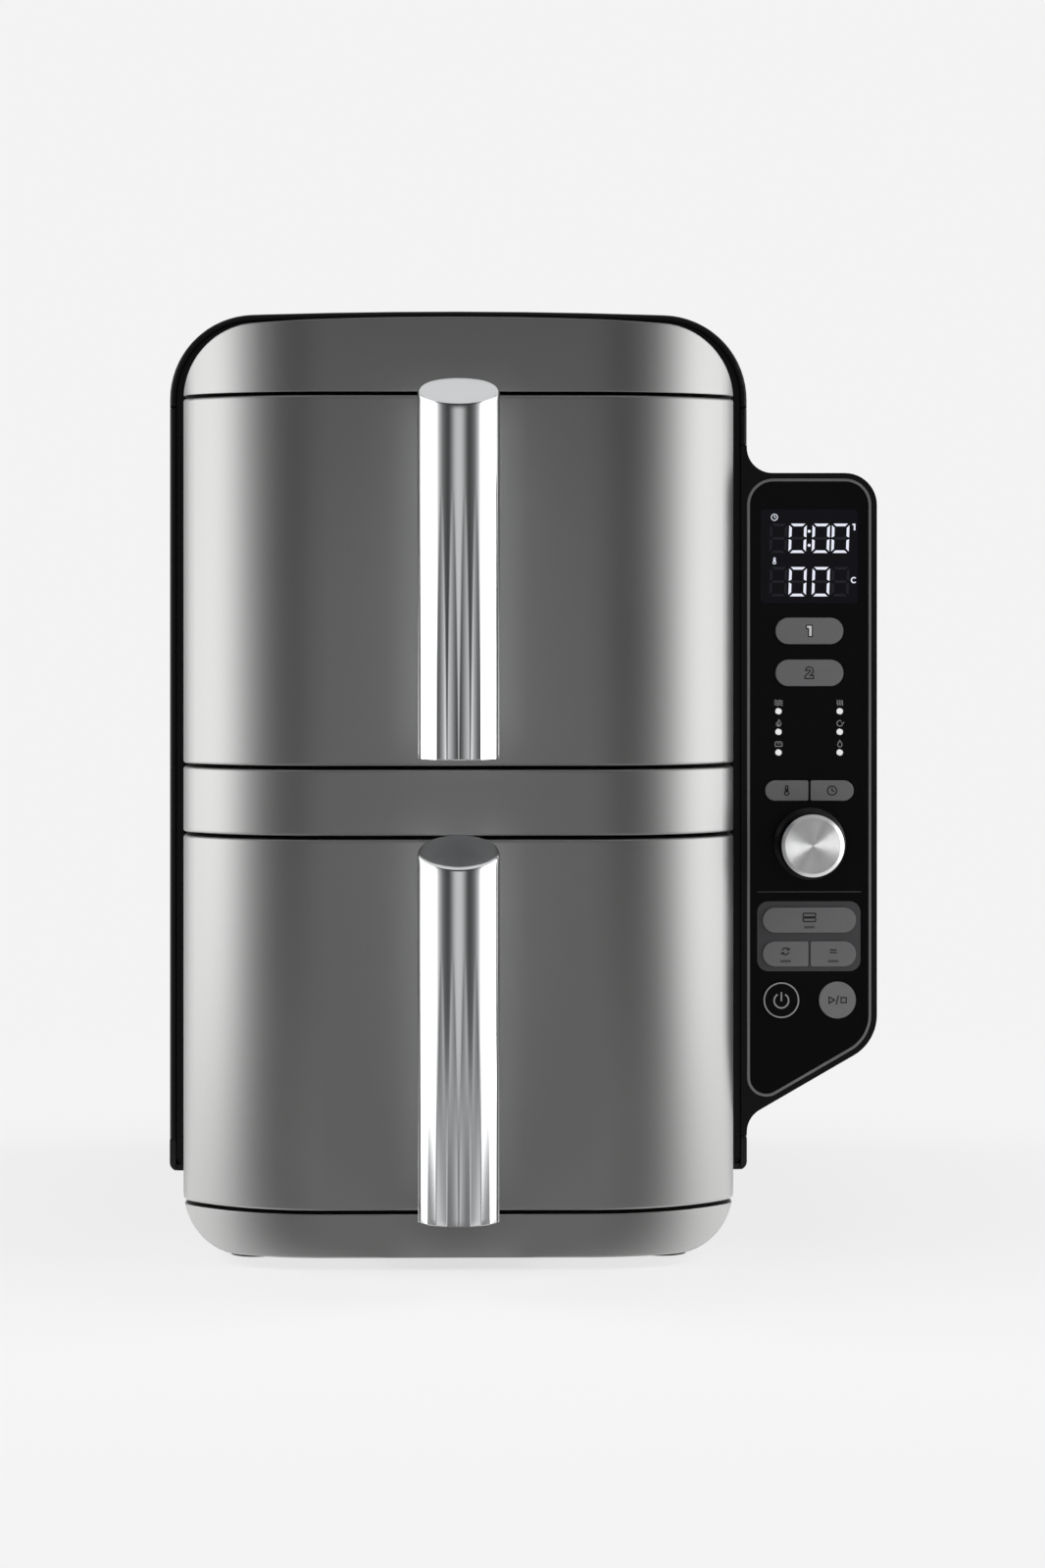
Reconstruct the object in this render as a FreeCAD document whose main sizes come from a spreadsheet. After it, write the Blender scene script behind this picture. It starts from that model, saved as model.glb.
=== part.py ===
import FreeCAD, Part
import math
import os
import re

import Sketcher

# Two-drawer stacked air fryer with a control pod on its right side, in millimetres.
# Everything is laid out in the case frame: x = 0 on the drawers' centre plane, y = 0 on the flat
# of the drawer fronts with +y to the rear, z = 0 under the feet. Every finished piece is then
# placed with the same shift, so that the origin is under the middle of the whole object.

SIZES = {
    # Front: plan curve, heights and gaps
    "front_inset": 6.9,
    "front_width": "=shell_width-2*front_inset",
    "front_sweep": 71.0,
    "front_edge": 21.5,
    "sweep_angle": 49.3,
    "front_wall": 2.6,
    "edge_round": 1.1,
    "seam_gap": 1.3,
    "foot_height": 5.0,
    "foot_radius": 11.0,
    "foot_taper": 1.0,
    "foot_inset": 29.0,
    "foot_front": 44.0,
    "base_height": 17.25,
    "base_corner": 24.0,
    "drawer_height": 147.9,
    "band_height": 26.5,
    "fascia_height": 29.75,
    "fascia_corner": 31.0,
    "crown_angle": 2.9,
    "crown_clear": 1.9,
    "crown_run": "=front_width/2-fascia_corner-crown_clear",
    # Casing
    "shell_space": 15.8,
    "shell_width": "=cavity_width+2*shell_space",
    "shell_front": 56.0,
    "works_depth": 65.0,
    "shell_back": "=shell_front+frame_recess+frame_thick+cavity_depth+works_depth",
    "shell_lift": 9.6,
    "shell_rise": 6.2,
    "shell_corner": 35.0,
    "lid_angle": 1.8,
    "shell_wall": 2.5,
    "shell_edge": 1.6,
    "skirt_height": 13.0,
    "lid_depth": 40.0,
    "rear_depth": 24.0,
    "rear_round": 9.0,
    "case_gap": 0.3,
    "plinth_setback": 9.0,
    "plinth_corner": 9.0,
    "deck_depth": 15.0,
    "skirt_round": 3.5,
    "shell_foot": 2.5,
    "frame_recess": 1.5,
    "frame_thick": 3.5,
    "border_recess": 0.4,
    "border_gap": 1.0,
    "mouth_corner": 4.0,
    "sheet_corner": 3.0,
    "vent_width": 74.0,
    "vent_slot": 4.0,
    "vent_pitch": 8.5,
    "vent_count": 9,
    "screw_head": 3.6,
    "screw_shank": 1.9,
    "screw_rise": 1.6,
    "screw_inset": 13.0,
    "gland_radius": 7.0,
    "gland_bore": 3.8,
    "gland_lip": 2.5,
    "gland_inset": 22.0,
    # Hot chambers
    "cavity_clear": 1.5,
    "cavity_width": "=basket_width+2*(rim_width+cavity_clear)",
    "cavity_drop": 19.9,
    "cavity_height": "=drawer_height-cavity_drop",
    "basket_clear": 0.2,
    "cavity_depth": "=basket_depth+rim_width+basket_clear+guard_setback-drawer_gap-frame_thick",
    "cavity_rise": 14.0,
    "cavity_wall": 1.0,
    "cavity_flange": 3.0,
    "guard_setback": 24.0,
    "guard_thick": 1.0,
    "guard_slots": 18,
    "guard_inner": 13.0,
    "guard_outer": 49.0,
    "guard_slot": 4.6,
    "heater_tube": 3.2,
    "heater_clear": 8.0,
    "heater_ring": "=cavity_height/2-heater_clear",
    "heater_pitch": 10.0,
    "heater_gap": 6.7,
    "heater_break": 20,
    "heater_tail": 6.0,
    "heater_elbow": 3.4,
    "fan_clear": 2.8,
    "fan_radius": "=heater_ring-heater_pitch-heater_tube-fan_clear",
    "fan_blades": 12,
    "fan_blade": 12.0,
    "fan_lean": 12.0,
    "blade_thick": 1.2,
    "fan_plate": 1.2,
    "fan_gap": 3.0,
    "hub_radius": 8.0,
    "hub_round": 1.0,
    "shaft_radius": 3.0,
    "shaft_gap": 0.05,
    "shaft_end": 2.0,
    "motor_radius": 29.0,
    "motor_length": 32.0,
    "motor_flange": 37.0,
    "motor_plate": 2.5,
    "motor_neck": 4.0,
    "cooler_radius": 25.0,
    "cooler_depth": 7.0,
    "cooler_blades": 7,
    "cooler_lean": 5.0,
    # Drawers
    "drawer_gap": 1.2,
    "liner_thick": 4.0,
    "basket_width": 194.0,
    "basket_depth": 244.0,
    "basket_drop": 18.0,
    "basket_height": "=cavity_height-basket_drop",
    "basket_rise": 18.5,
    "basket_wall": 1.2,
    "basket_corner": 22.0,
    "basket_foot": 9.0,
    "rim_width": 4.5,
    "rim_thick": 1.6,
    "runner_gap": 0.3,
    "runner_drop": 12.0,
    "runner_thick": 2.0,
    "runner_short": 16.0,
    "runner_length": "=basket_depth-runner_short",
    "plate_gap": 3.0,
    "plate_thick": 1.6,
    "plate_rise": 14.0,
    "plate_rim": 6.0,
    "plate_round": 1.4,
    "plate_hole": 5.0,
    "plate_columns": 6,
    "plate_rows": 6,
    "bumper_length": 18.0,
    "bumper_thick": 5.0,
    # Handles
    "grip_diameter": 31.5,
    "grip_axis": 60.0,
    "grip_foot": 5.3,
    "grip_head": 5.4,
    "grip_slope": 19.4,
    "grip_round": 1.8,
    "flute_count": 22,
    "flute_radius": 17.0,
    "flute_depth": 0.31,
    "flute_length": 104.0,
    "flute_run": 125.0,
    "post_width": 15.0,
    "post_height": 13.0,
    "post_inset": 24.0,
    "post_round": 6.0,
    # Control pod
    "pod_rise": 32.45,
    "pod_depth": 68.0,
    "pod_rim": 2.2,
    "pod_back": 3.0,
    "pod_blend": 10.5,
    "pod_margin": 1.0,
    "trim_width": 51.5,
    "trim_height": 261.0,
    "trim_slope": 30.0,
    "trim_corner": 11.0,
    "trim_toe": 8.0,
    "trim_heel": 17.0,
    "trim_wall": 1.1,
    "trim_depth": 6.0,
    "trim_gap": 0.15,
    "panel_recess": 0.3,
    "panel_thick": 2.4,
    "display_width": 40.5,
    "display_height": 38.9,
    "display_z": 228.85,
    "display_corner": 2.0,
    "board_setback": 11.0,
    "board_thick": 1.6,
    "board_inset": 4.5,
    "pillar_radius": 2.5,
    "pillar_inset": 4.0,
    "pillar_drop": 10.0,
    "pillar_low": 22.0,
    "pillar_shift": 6.0,
    "pillar_mid": 30.0,
    "light_radius": 1.2,
    "light_x": 12.65,
    "light_z": 164.9,
    "light_pitch": 8.5,
    # Keys and dial
    "key_gap": 0.25,
    "key_rise": 0.7,
    "key_lip": 1.0,
    "key_flange": 1.0,
    "key_travel": 0.8,
    "key_split": 0.9,
    "key_round": 0.8,
    "lip_corner": 0.5,
    "stem_radius": 1.5,
    "stem_length": 2.0,
    "switch_size": 6.0,
    "zone_width": 28.0,
    "zone_height": 10.9,
    "zone_z": 198.05,
    "zone_pitch": 17.3,
    "pair_width": 36.5,
    "pair_height": 8.4,
    "pair_z": 132.2,
    "stack_width": 38.5,
    "stack_height": 10.4,
    "stack_z": 78.8,
    "match_z": 64.85,
    "round_radius": 7.6,
    "round_x": 11.55,
    "round_z": 45.8,
    "dial_z": 110.4,
    "dial_skirt": 15.0,
    "dial_radius": 12.8,
    "dial_height": 18.5,
    "dial_flare": 2.6,
    "dial_round": 1.0,
    "dial_waist": 2.0,
    "cap_thick": 1.6,
    "cap_bevel": 0.9,
    "dial_gap": 0.3,
    "dial_shaft": 3.0,
    "encoder_size": 12.0,
    "encoder_bush": 5.0,
    "encoder_wall": 2.0,
    # Power electronics above the upper chamber
    "power_width": 96.0,
    "power_length": 130.0,
    "power_lift": 6.0,
    "power_setback": 90.0,
    "power_pillar": 3.0,
    "power_margin": 5.0,
    "coil_width": 34.0,
    "coil_length": 30.0,
    "coil_height": 24.0,
    "relay_width": 20.0,
    "relay_length": 18.0,
    "relay_height": 16.0,
    "relay_pitch": 26.0,
    "can_radius": 7.0,
    "can_height": 22.0,
    "can_pitch": 18.0,
    "can_y": 64.0,
    "fin_thick": 3.0,
    "fin_length": 34.0,
    "fin_height": 20.0,
    "fin_pitch": 8.0,
    "fin_y": 86.0,
    "power_inset": 13.0,
    # How far a cutting form reaches past what it cuts
    "overcut": 1.0,
    # The least straight side left between two arcs of an outline
    "least_side": 0.1,
}
RELAYS = 3
CANS = 2
FINS = 5

ALIAS = re.compile(r"\b(" + "|".join(sorted(SIZES, key=len, reverse=True)) + r")\b")
Vector = FreeCAD.Vector
Placement = FreeCAD.Placement
Rotation = FreeCAD.Rotation

doc = FreeCAD.newDocument("AirFryer")
sheet = doc.addObject("Spreadsheet::Sheet", "Sizes")
finished = []


def fill_sheet():
    """Write every dimension into the sheet, under its own alias; some follow from others."""
    for row, alias in enumerate(SIZES, 1):
        sheet.set(f"A{row}", alias)
        sheet.setAlias(f"B{row}", alias)
    for row, size in enumerate(SIZES.values(), 1):
        sheet.set(f"B{row}", str(size))
    doc.recompute()


def named(text):
    """The expression with each alias pointed at the sheet."""
    return ALIAS.sub(r"Sizes.\1", text)


def number(text):
    result = sheet.evalExpression(named(text))
    return float(getattr(result, "Value", result))


def bind(item, path, text):
    item.setExpression(path, named(text))


# Levels and faces that several pieces share
HALF = "(front_width/2)"
SHELL = "(shell_width/2)"
BASE_TOP = "(foot_height+base_height)"
LOWER = f"({BASE_TOP}+seam_gap)"
BAND = f"({LOWER}+drawer_height+seam_gap)"
UPPER = f"({BAND}+band_height+seam_gap)"
FASCIA = f"({UPPER}+drawer_height+seam_gap)"
FASCIA_TOP = f"({FASCIA}+fascia_height)"
SHELL_TOP = f"({FASCIA_TOP}+shell_rise)"
SHELL_LOW = f"({BASE_TOP}+shell_lift)"
SKIRT_TOP = f"({SHELL_LOW}+skirt_height)"
LID_LOW = f"({SHELL_TOP}-lid_depth)"
REAR = "(shell_back-rear_depth)"
FRAME = "(shell_front+frame_recess)"
CHAMBER = f"({FRAME}+frame_thick)"
CHAMBER_END = f"({CHAMBER}+cavity_depth)"
DRAWER_BACK = f"({FRAME}-drawer_gap)"
GRIP_RADIUS = "(grip_diameter/2)"
GUARD = f"({CHAMBER_END}-guard_setback)"
HEATER = f"({GUARD}+guard_thick+heater_gap)"
FAN_BACK = f"({CHAMBER_END}-fan_gap)"
MOTOR = f"({CHAMBER_END}+cavity_wall)"
MOTOR_END = f"({MOTOR}+motor_plate+motor_length)"
COOLER = f"({MOTOR_END}+fan_gap)"
TRIM_LOW = f"({LOWER}+pod_rise)"
TRIM_RIGHT = f"({SHELL}+trim_width)"
TRIM_TOP = f"({TRIM_LOW}+trim_height)"
POD_RIGHT = f"({TRIM_RIGHT}+pod_rim)"
POD_TOP = f"({TRIM_TOP}+pod_rim)"
POD_TOE = f"({TRIM_LOW}-pod_rim/cos(trim_slope))"
POD_LOW = f"({POD_TOE}-pod_blend*tan(45-trim_slope/2)-pod_margin)"
POD_HIGH = f"({POD_TOP}+pod_blend+pod_margin)"
PANEL_X = f"({SHELL}+trim_width/2)"
PANEL = "(shell_front+panel_recess)"
PANEL_BACK = f"({PANEL}+panel_thick)"
BOARD = f"({PANEL_BACK}+board_setback)"
DRAWERS = {"lower": LOWER, "upper": UPPER}
CASE_X = f"(({SHELL}-{POD_RIGHT})/2)"
CASE_Y = f"((grip_axis+{GRIP_RADIUS}-shell_back-gland_lip)/2)"

TURNED = {
    "x": Rotation(Vector(0, 1, 0), 90),
    "y": Rotation(Vector(1, 0, 0), -90),
    "z": Rotation(),
}
AXES = ("x", "y", "z")


# Helpers for solids and features
def place(item, x, y, z):
    for axis, text in zip(AXES, (x, y, z)):
        bind(item, f"Placement.Base.{axis}", text)


def finish(item, label):
    """Name a finished piece and shift it from the case frame to the object's own frame."""
    item.Label = label
    place(item, CASE_X, CASE_Y, "0")
    finished.append(item)


def block(name, low, size):
    item = doc.addObject("Part::Box", name)
    for prop, text in zip(("Length", "Width", "Height"), size):
        bind(item, prop, text)
    place(item, *low)
    return item


def rod(name, start, axis, radius, length):
    """A cylinder that runs from its start along the positive axis."""
    item = doc.addObject("Part::Cylinder", name)
    item.Placement = Placement(Vector(), TURNED[axis])
    bind(item, "Radius", radius)
    bind(item, "Height", length)
    place(item, *start)
    return item


def ring(name, centre, radius, tube, start, sweep):
    """Part of a torus in an upright plane; its angles run from +x towards -z, seen from the front."""
    item = doc.addObject("Part::Torus", name)
    item.Placement = Placement(Vector(), TURNED["y"] * Rotation(Vector(0, 0, 1), start))
    bind(item, "Radius1", radius)
    bind(item, "Radius2", tube)
    item.Angle3 = sweep
    place(item, *centre)
    return item


def fuse(name, *pieces):
    item = doc.addObject("Part::MultiFuse", name)
    item.Shapes = list(pieces)
    return item


def cut(name, base, *tools):
    item = doc.addObject("Part::Cut", name)
    item.Base = base
    item.Tool = tools[0] if len(tools) == 1 else fuse(name + "_tools", *tools)
    return item


def common(name, first, second):
    item = doc.addObject("Part::MultiCommon", name)
    item.Shapes = [first, second]
    return item


def group(name, *pieces):
    item = doc.addObject("Part::Compound", name)
    item.Links = list(pieces)
    return item


def new_body(name):
    return doc.addObject("PartDesign::Body", name)


def sketch_on(body, plane, origin=("0", "0", "0")):
    """A sketch on one of the body's origin planes, moved so that its own origin is at a point."""
    item = body.newObject("Sketcher::SketchObject", body.Name + "_sketch")
    face = next(f for f in body.Origin.OriginFeatures if f.Role == plane + "_Plane")
    item.AttachmentSupport = [(face, "")]
    item.MapMode = "FlatFace"
    x, y, z = origin
    local = {"XY": (x, y, z), "XZ": (x, z, f"-({y})"), "YZ": (y, z, x)}[plane]
    for axis, text in zip(AXES, local):
        bind(item, f"AttachmentOffset.Base.{axis}", text)
    return item


def corner_points(corners):
    """Where each rounded corner starts, the middle of its arc, and where it ends."""
    points = [Vector(number(c[0]), number(c[1]), 0) for c in corners]
    result = []
    for index, corner in enumerate(corners):
        point = points[index]
        before = (points[index - 1] - point).normalize()
        after = (points[(index + 1) % len(points)] - point).normalize()
        if len(corner) < 3:
            result.append((point, None, point))
            continue
        radius = number(corner[2])
        half = before.getAngle(after) / 2
        reach = radius / math.tan(half)
        middle = (before + after).normalize() * (radius / math.sin(half) - radius)
        result.append((point + before * reach, point + middle, point + after * reach))
    return points, result


def outline(sketch, corners):
    """A closed outline of straight sides; a corner is (x, y) or (x, y, radius), all expressions."""
    points, turns = corner_points(corners)
    count = len(points)
    sides = []
    for index in range(count):
        side = Part.LineSegment(turns[index][2], turns[(index + 1) % count][0])
        sides.append(sketch.addGeometry(side, False))
    rules = []
    bound = []

    def rule(*args, text=None):
        if text is not None:
            bound.append((len(rules), text))
        rules.append(Sketcher.Constraint(*args))

    for index, corner in enumerate(corners):
        mark = sketch.addGeometry(Part.Point(points[index]), True)
        rule("DistanceX", -1, 1, mark, 1, points[index].x, text=corner[0])
        rule("DistanceY", -1, 1, mark, 1, points[index].y, text=corner[1])
        rule("PointOnObject", mark, 1, sides[index])
        rule("PointOnObject", mark, 1, sides[index - 1])
        start, middle, end = turns[index]
        if middle is None:
            rule("Coincident", sides[index - 1], 2, sides[index], 1)
            continue
        left_turn = (middle - start).cross(end - middle).z > 0
        ends = (start, end) if left_turn else (end, start)
        arc = sketch.addGeometry(Part.Arc(ends[0], middle, ends[1]), False)
        near, far = (1, 2) if left_turn else (2, 1)
        rule("Tangent", sides[index - 1], 2, arc, near)
        rule("Tangent", arc, far, sides[index], 1)
        rule("Radius", arc, number(corner[2]), text=corner[2])
    first = sketch.ConstraintCount
    sketch.addConstraint(rules)
    for index, text in bound:
        bind(sketch, f"Constraints[{first + index}]", text)


def circle(sketch, x, y, radius):
    centre = Vector(number(x), number(y), 0)
    edge = sketch.addGeometry(Part.Circle(centre, Vector(0, 0, 1), number(radius)), False)
    first = sketch.ConstraintCount
    sketch.addConstraint([
        Sketcher.Constraint("DistanceX", -1, 1, edge, 3, centre.x),
        Sketcher.Constraint("DistanceY", -1, 1, edge, 3, centre.y),
        Sketcher.Constraint("Radius", edge, number(radius)),
    ])
    for index, text in enumerate((x, y, radius)):
        bind(sketch, f"Constraints[{first + index}]", text)


def rectangle(x_low, y_low, x_high, y_high, radius=None):
    """The four corners of an upright rectangle, all rounded alike if a radius is given."""
    ends = [(x_low, y_low), (x_high, y_low), (x_high, y_high), (x_low, y_high)]
    return [end + (radius,) if radius else end for end in ends]


def upright(sketch):
    return sketch.AttachmentSupport[0][0].Role == "XZ_Plane"


def feature(body, kind, sketch, name):
    item = body.newObject("PartDesign::" + kind, body.Name + name)
    item.Profile = sketch
    body.Tip = item
    return item


def pad(body, sketch, length):
    """Add material from the sketch towards the positive axis."""
    item = feature(body, "Pad", sketch, "_pad")
    item.Reversed = upright(sketch)
    bind(item, "Length", length)
    return item


def pocket(body, sketch, length):
    """Take material away from the sketch towards the positive axis."""
    item = feature(body, "Pocket", sketch, "_pocket")
    item.Reversed = not upright(sketch)
    bind(item, "Length", length)
    return item


def revolve(body, sketch):
    """A full turn of the sketch about its own horizontal axis."""
    item = feature(body, "Revolution", sketch, "_turn")
    item.ReferenceAxis = (sketch, ["H_Axis"])
    item.Angle = 360
    return item


def polar(body, original, sketch, count):
    """Copies of a feature round the sketch's own normal."""
    item = body.newObject("PartDesign::PolarPattern", body.Name + "_polar")
    item.Originals = [original]
    item.Axis = (sketch, ["N_Axis"])
    item.Angle = 360
    bind(item, "Occurrences", count)
    body.Tip = item
    return item


def row_of(body, original, sketch, axis, count, pitch):
    """Copies of a feature along one of the sketch's axes."""
    item = body.newObject("PartDesign::LinearPattern", body.Name + "_row")
    item.Originals = [original]
    item.Direction = (sketch, [axis])
    bind(item, "Occurrences", count)
    bind(item, "Length", f"({count}-1)*{pitch}")
    body.Tip = item
    return item


def soften(body, radius, wanted):
    """Round the edges of the body's last feature that pass the test."""
    doc.recompute()
    base = body.Tip
    edges = [f"Edge{i}" for i, edge in enumerate(base.Shape.Edges, 1) if wanted(edge.BoundBox)]
    item = body.newObject("PartDesign::Fillet", body.Name + "_round")
    item.Base = (base, edges)
    bind(item, "Radius", radius)
    body.Tip = item
    return item


def level_edge(height):
    """A test for edges that lie flat at a height."""
    z = number(height)
    return lambda box: box.ZLength < 1e-4 and abs(box.ZMin - z) < 1e-3


def facing_edge(depth):
    """A test for edges that lie in the upright plane at a depth."""
    y = number(depth)
    return lambda box: box.YLength < 1e-4 and abs(box.YMin - y) < 1e-3


# Front pieces
def front_plan(inset, back):
    """Plan of the curved front, set in by a wall: flat middle, wide sweeps and tighter ends."""
    slant = "(front_sweep*tan(sweep_angle/2)+front_edge*tan(45-sweep_angle/2)+least_side)"
    half = f"({HALF}-{inset})"
    flat = f"({HALF}-{slant}*cos(sweep_angle)-{inset}*tan(sweep_angle/2))"
    turn = f"({slant}*sin(sweep_angle)+{inset}*tan(45-sweep_angle/2))"
    sweep = f"front_sweep-{inset}"
    edge = f"front_edge-{inset}"
    return [
        (f"-{half}", back),
        (f"-{half}", turn, edge),
        (f"-{flat}", inset, sweep),
        (flat, inset, sweep),
        (half, turn, edge),
        (half, back),
    ]


def front_prism(name, inset, low, high, back):
    body = new_body(name)
    plan = sketch_on(body, "XY", ("0", "0", low))
    outline(plan, front_plan(inset, back))
    pad(body, plan, f"{high}-{low}")
    return body


def front_cover(name, low, height, back):
    """A hollow front moulding, open at the back, with softened upper and lower edges."""
    body = front_prism(name, "0", low, f"({low}+{height})", back)
    soften(body, "edge_round", level_edge(f"{low}+{height}"))
    soften(body, "edge_round", level_edge(low))
    inner = sketch_on(body, "XY", ("0", "0", f"{low}+front_wall"))
    outline(inner, front_plan("front_wall", f"{back}+overcut"))
    pocket(body, inner, f"{height}-2*front_wall")
    return body


def crowned(half, low, high, corner, angle):
    """Front view of a form with a slightly domed top: upright sides, round shoulders, wide crown."""
    crown = f"(crown_run/tan({angle}))"
    peak = f"({high}+{crown}*(1/cos({angle})-1))"
    side = f"({peak}-{half}*tan({angle}))"
    return [(f"-{half}", low), (f"-{half}", side, corner), ("0", peak, crown),
            (half, side, corner), (half, low)]


def footed(half, low, high, corner):
    """Front view of a form with round lower corners."""
    return [(f"-{half}", high), (f"-{half}", low, corner), (half, low, corner), (half, high)]


def trimmed(name, form, corners, back):
    """What is left of a front form inside a given front view."""
    body = new_body(name + "_view")
    view = sketch_on(body, "XZ", ("0", "-overcut", "0"))
    outline(view, corners)
    pad(body, view, f"{back}+2*overcut")
    return common(name, form, body)


def top_fascia():
    def form(name, inset, low, high, back):
        corner = f"(fascia_corner-{inset})"
        view = crowned(f"({HALF}-{inset})", f"({low}-{corner})", high, corner, "crown_angle")
        return trimmed(name, front_prism(name + "_plan", inset, low, f"({high}+overcut)", back), view,
                       back)

    outer = form("fascia_outer", "0", FASCIA, FASCIA_TOP, FRAME)
    inner = form("fascia_inner", "front_wall", f"({FASCIA}+front_wall)",
                 f"({FASCIA_TOP}-front_wall)", f"({FRAME}+overcut)")
    finish(cut("top_fascia", outer, inner), "top_fascia")


def middle_fascia():
    finish(front_cover("middle_fascia", BAND, "band_height", FRAME), "middle_fascia")


def base_tray():
    """The grey foot moulding: a shallow tray with round lower corners, decked over in front."""
    def form(name, inset, high, back):
        low = f"(foot_height+{inset})"
        corner = f"(base_corner-{inset})"
        view = footed(f"({HALF}-{inset})", low, f"({high}+{corner})", corner)
        return trimmed(name, front_prism(name + "_plan", inset, low, high, back), view, back)

    outer = form("base_outer", "0", BASE_TOP, REAR)
    inner = form("base_inner", "front_wall", f"({BASE_TOP}+overcut)", f"({REAR}-front_wall)")
    deck = front_prism("base_deck", "front_wall", f"({BASE_TOP}-front_wall)", BASE_TOP,
                       "(shell_front+deck_depth)")
    finish(fuse("base_tray", cut("base_shell", outer, inner), deck), "base_tray")


def rubber_feet():
    feet = []
    for side in ("-", ""):
        for y in ("foot_front", f"{REAR}-foot_inset"):
            foot = doc.addObject("Part::Cone", "foot")
            bind(foot, "Radius1", "foot_radius-foot_taper")
            bind(foot, "Radius2", "foot_radius")
            bind(foot, "Height", "foot_height")
            place(foot, f"{side}({HALF}-foot_inset)", y, "0")
            feet.append(foot)
    finish(group("rubber_feet", *feet), "rubber_feet")


# Casing
def top_cover():
    body = new_body("top_cover")
    view = sketch_on(body, "XZ", ("0", "shell_front", "0"))
    top = f"({SHELL_TOP}-shell_wall)"
    low = f"({LID_LOW}+case_gap)"
    outer = crowned(SHELL, low, SHELL_TOP, "shell_corner", "lid_angle")
    inner = crowned(f"({SHELL}-shell_wall)", low, top, "(shell_corner-shell_wall)", "lid_angle")
    outline(view, outer + inner[::-1])
    pad(body, view, f"{REAR}-shell_front")
    half = number(SHELL) - 0.01
    high = number(top) + 0.01
    front = facing_edge("shell_front")
    soften(body, "shell_edge", lambda box: front(box) and (box.XMax > half or box.XMin < -half
                                                           or box.ZMin > high))
    finish(body, "top_cover")


def chassis_pan():
    """The black floor of the casing, with its side skirts and the plinth that stands on the base."""
    body = new_body("chassis_pan")
    view = sketch_on(body, "XZ", ("0", "shell_front", "0"))
    inner = f"({SHELL}-shell_wall)"
    floor = f"({SHELL_LOW}+shell_wall)"
    outline(view, [
        (f"-{SHELL}", SKIRT_TOP), (f"-{SHELL}", SHELL_LOW, "skirt_round"),
        (SHELL, SHELL_LOW, "skirt_round"), (SHELL, SKIRT_TOP),
        (inner, SKIRT_TOP), (inner, floor), (f"-{inner}", floor), (f"-{inner}", SKIRT_TOP),
    ])
    pad(body, view, f"{REAR}-shell_front")
    relief = sketch_on(body, "XY", ("0", "0", f"{SHELL_LOW}-overcut"))
    outline(relief, rectangle(f"-{inner}", "shell_front-overcut", inner, FRAME))
    pocket(body, relief, "shell_wall+2*overcut")
    plinth = sketch_on(body, "XY", ("0", "0", BASE_TOP))
    half = f"({HALF}-front_wall)"
    low = "(shell_front+plinth_setback)"
    high = f"({REAR}-front_wall/2)"
    outline(plinth, rectangle(f"-{half}", low, half, high, "plinth_corner"))
    outline(plinth, rectangle(f"-{half}+front_wall", f"{low}+front_wall",
                              f"{half}-front_wall", f"{high}-front_wall",
                              "plinth_corner-front_wall"))
    pad(body, plinth, "shell_lift+shell_wall/2")
    finish(body, "chassis_pan")


def panel_plan(side):
    """Plan of a side wall with a rounded front edge; side is -1 on the left and 1 on the right."""
    outer = f"{side}*{SHELL}"
    inner = f"{side}*({SHELL}-shell_wall)"
    return [(outer, "shell_front", "shell_edge"), (outer, REAR), (inner, REAR),
            (inner, "shell_front")]


def side_panels():
    low = f"({SKIRT_TOP}+case_gap)"
    for side, label in ((-1, "left_side_panel"), (1, "right_side_panel")):
        body = new_body(label)
        plan = sketch_on(body, "XY", ("0", "0", low))
        outline(plan, panel_plan(side))
        pad(body, plan, f"{LID_LOW}-{low}")
        if side > 0:
            notch = sketch_on(body, "YZ", (f"{SHELL}-shell_wall-overcut", "0", "0"))
            outline(notch, rectangle("shell_front-overcut", f"{POD_LOW}-case_gap",
                                     "shell_front+pod_depth+case_gap", f"{POD_HIGH}+case_gap"))
            pocket(body, notch, "shell_wall+2*overcut")
        finish(body, label)


def case_view(inset, low, high):
    """Front view of the casing: domed top, round upper corners, nearly square lower ones."""
    left, left_top, ridge, right_top, right = crowned(f"({SHELL}-{inset})", low, high,
                                                      f"(shell_corner-{inset})", "lid_angle")
    return [left + ("shell_foot",), left_top, ridge, right_top, right + ("shell_foot",)]


def front_frame():
    body = new_body("front_frame")
    inset = "(shell_wall+case_gap)"
    view = sketch_on(body, "XZ", ("0", FRAME, "0"))
    low = f"({SHELL_LOW}+shell_wall)"
    high = f"({SHELL_TOP}-{inset})"
    outline(view, case_view(inset, low, high))
    pad(body, view, "frame_thick")
    border = sketch_on(body, "XZ", ("0", "shell_front+border_recess", "0"))
    outer = crowned(f"({SHELL}-{inset})", f"({low}+shell_foot)", high, f"(shell_corner-{inset})",
                    "lid_angle")
    inner = crowned(f"({HALF}+border_gap)", f"({low}+shell_foot)", f"({FASCIA_TOP}+border_gap)",
                    "(fascia_corner+border_gap)", "crown_angle")
    outline(border, outer + inner[::-1])
    pad(body, border, f"{FRAME}-shell_front-border_recess")
    for level in DRAWERS.values():
        mouth = sketch_on(body, "XZ", ("0", f"{FRAME}-overcut", "0"))
        half = "cavity_width/2"
        outline(mouth, rectangle(f"-{half}", f"{level}+cavity_rise", half,
                                 f"{level}+cavity_rise+cavity_height", "mouth_corner"))
        pocket(body, mouth, "frame_thick+2*overcut")
    finish(body, "front_frame")


def screw_places():
    side = f"({SHELL}-screw_inset)"
    levels = (f"({SHELL_LOW}+screw_inset)", f"({BAND}+band_height/2)",
              f"({SHELL_TOP}-shell_corner)")
    return [(f"{sign}{side}", level) for sign in ("-", "") for level in levels]


def fan_height(level):
    return f"({level}+cavity_rise+cavity_height/2)"


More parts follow.
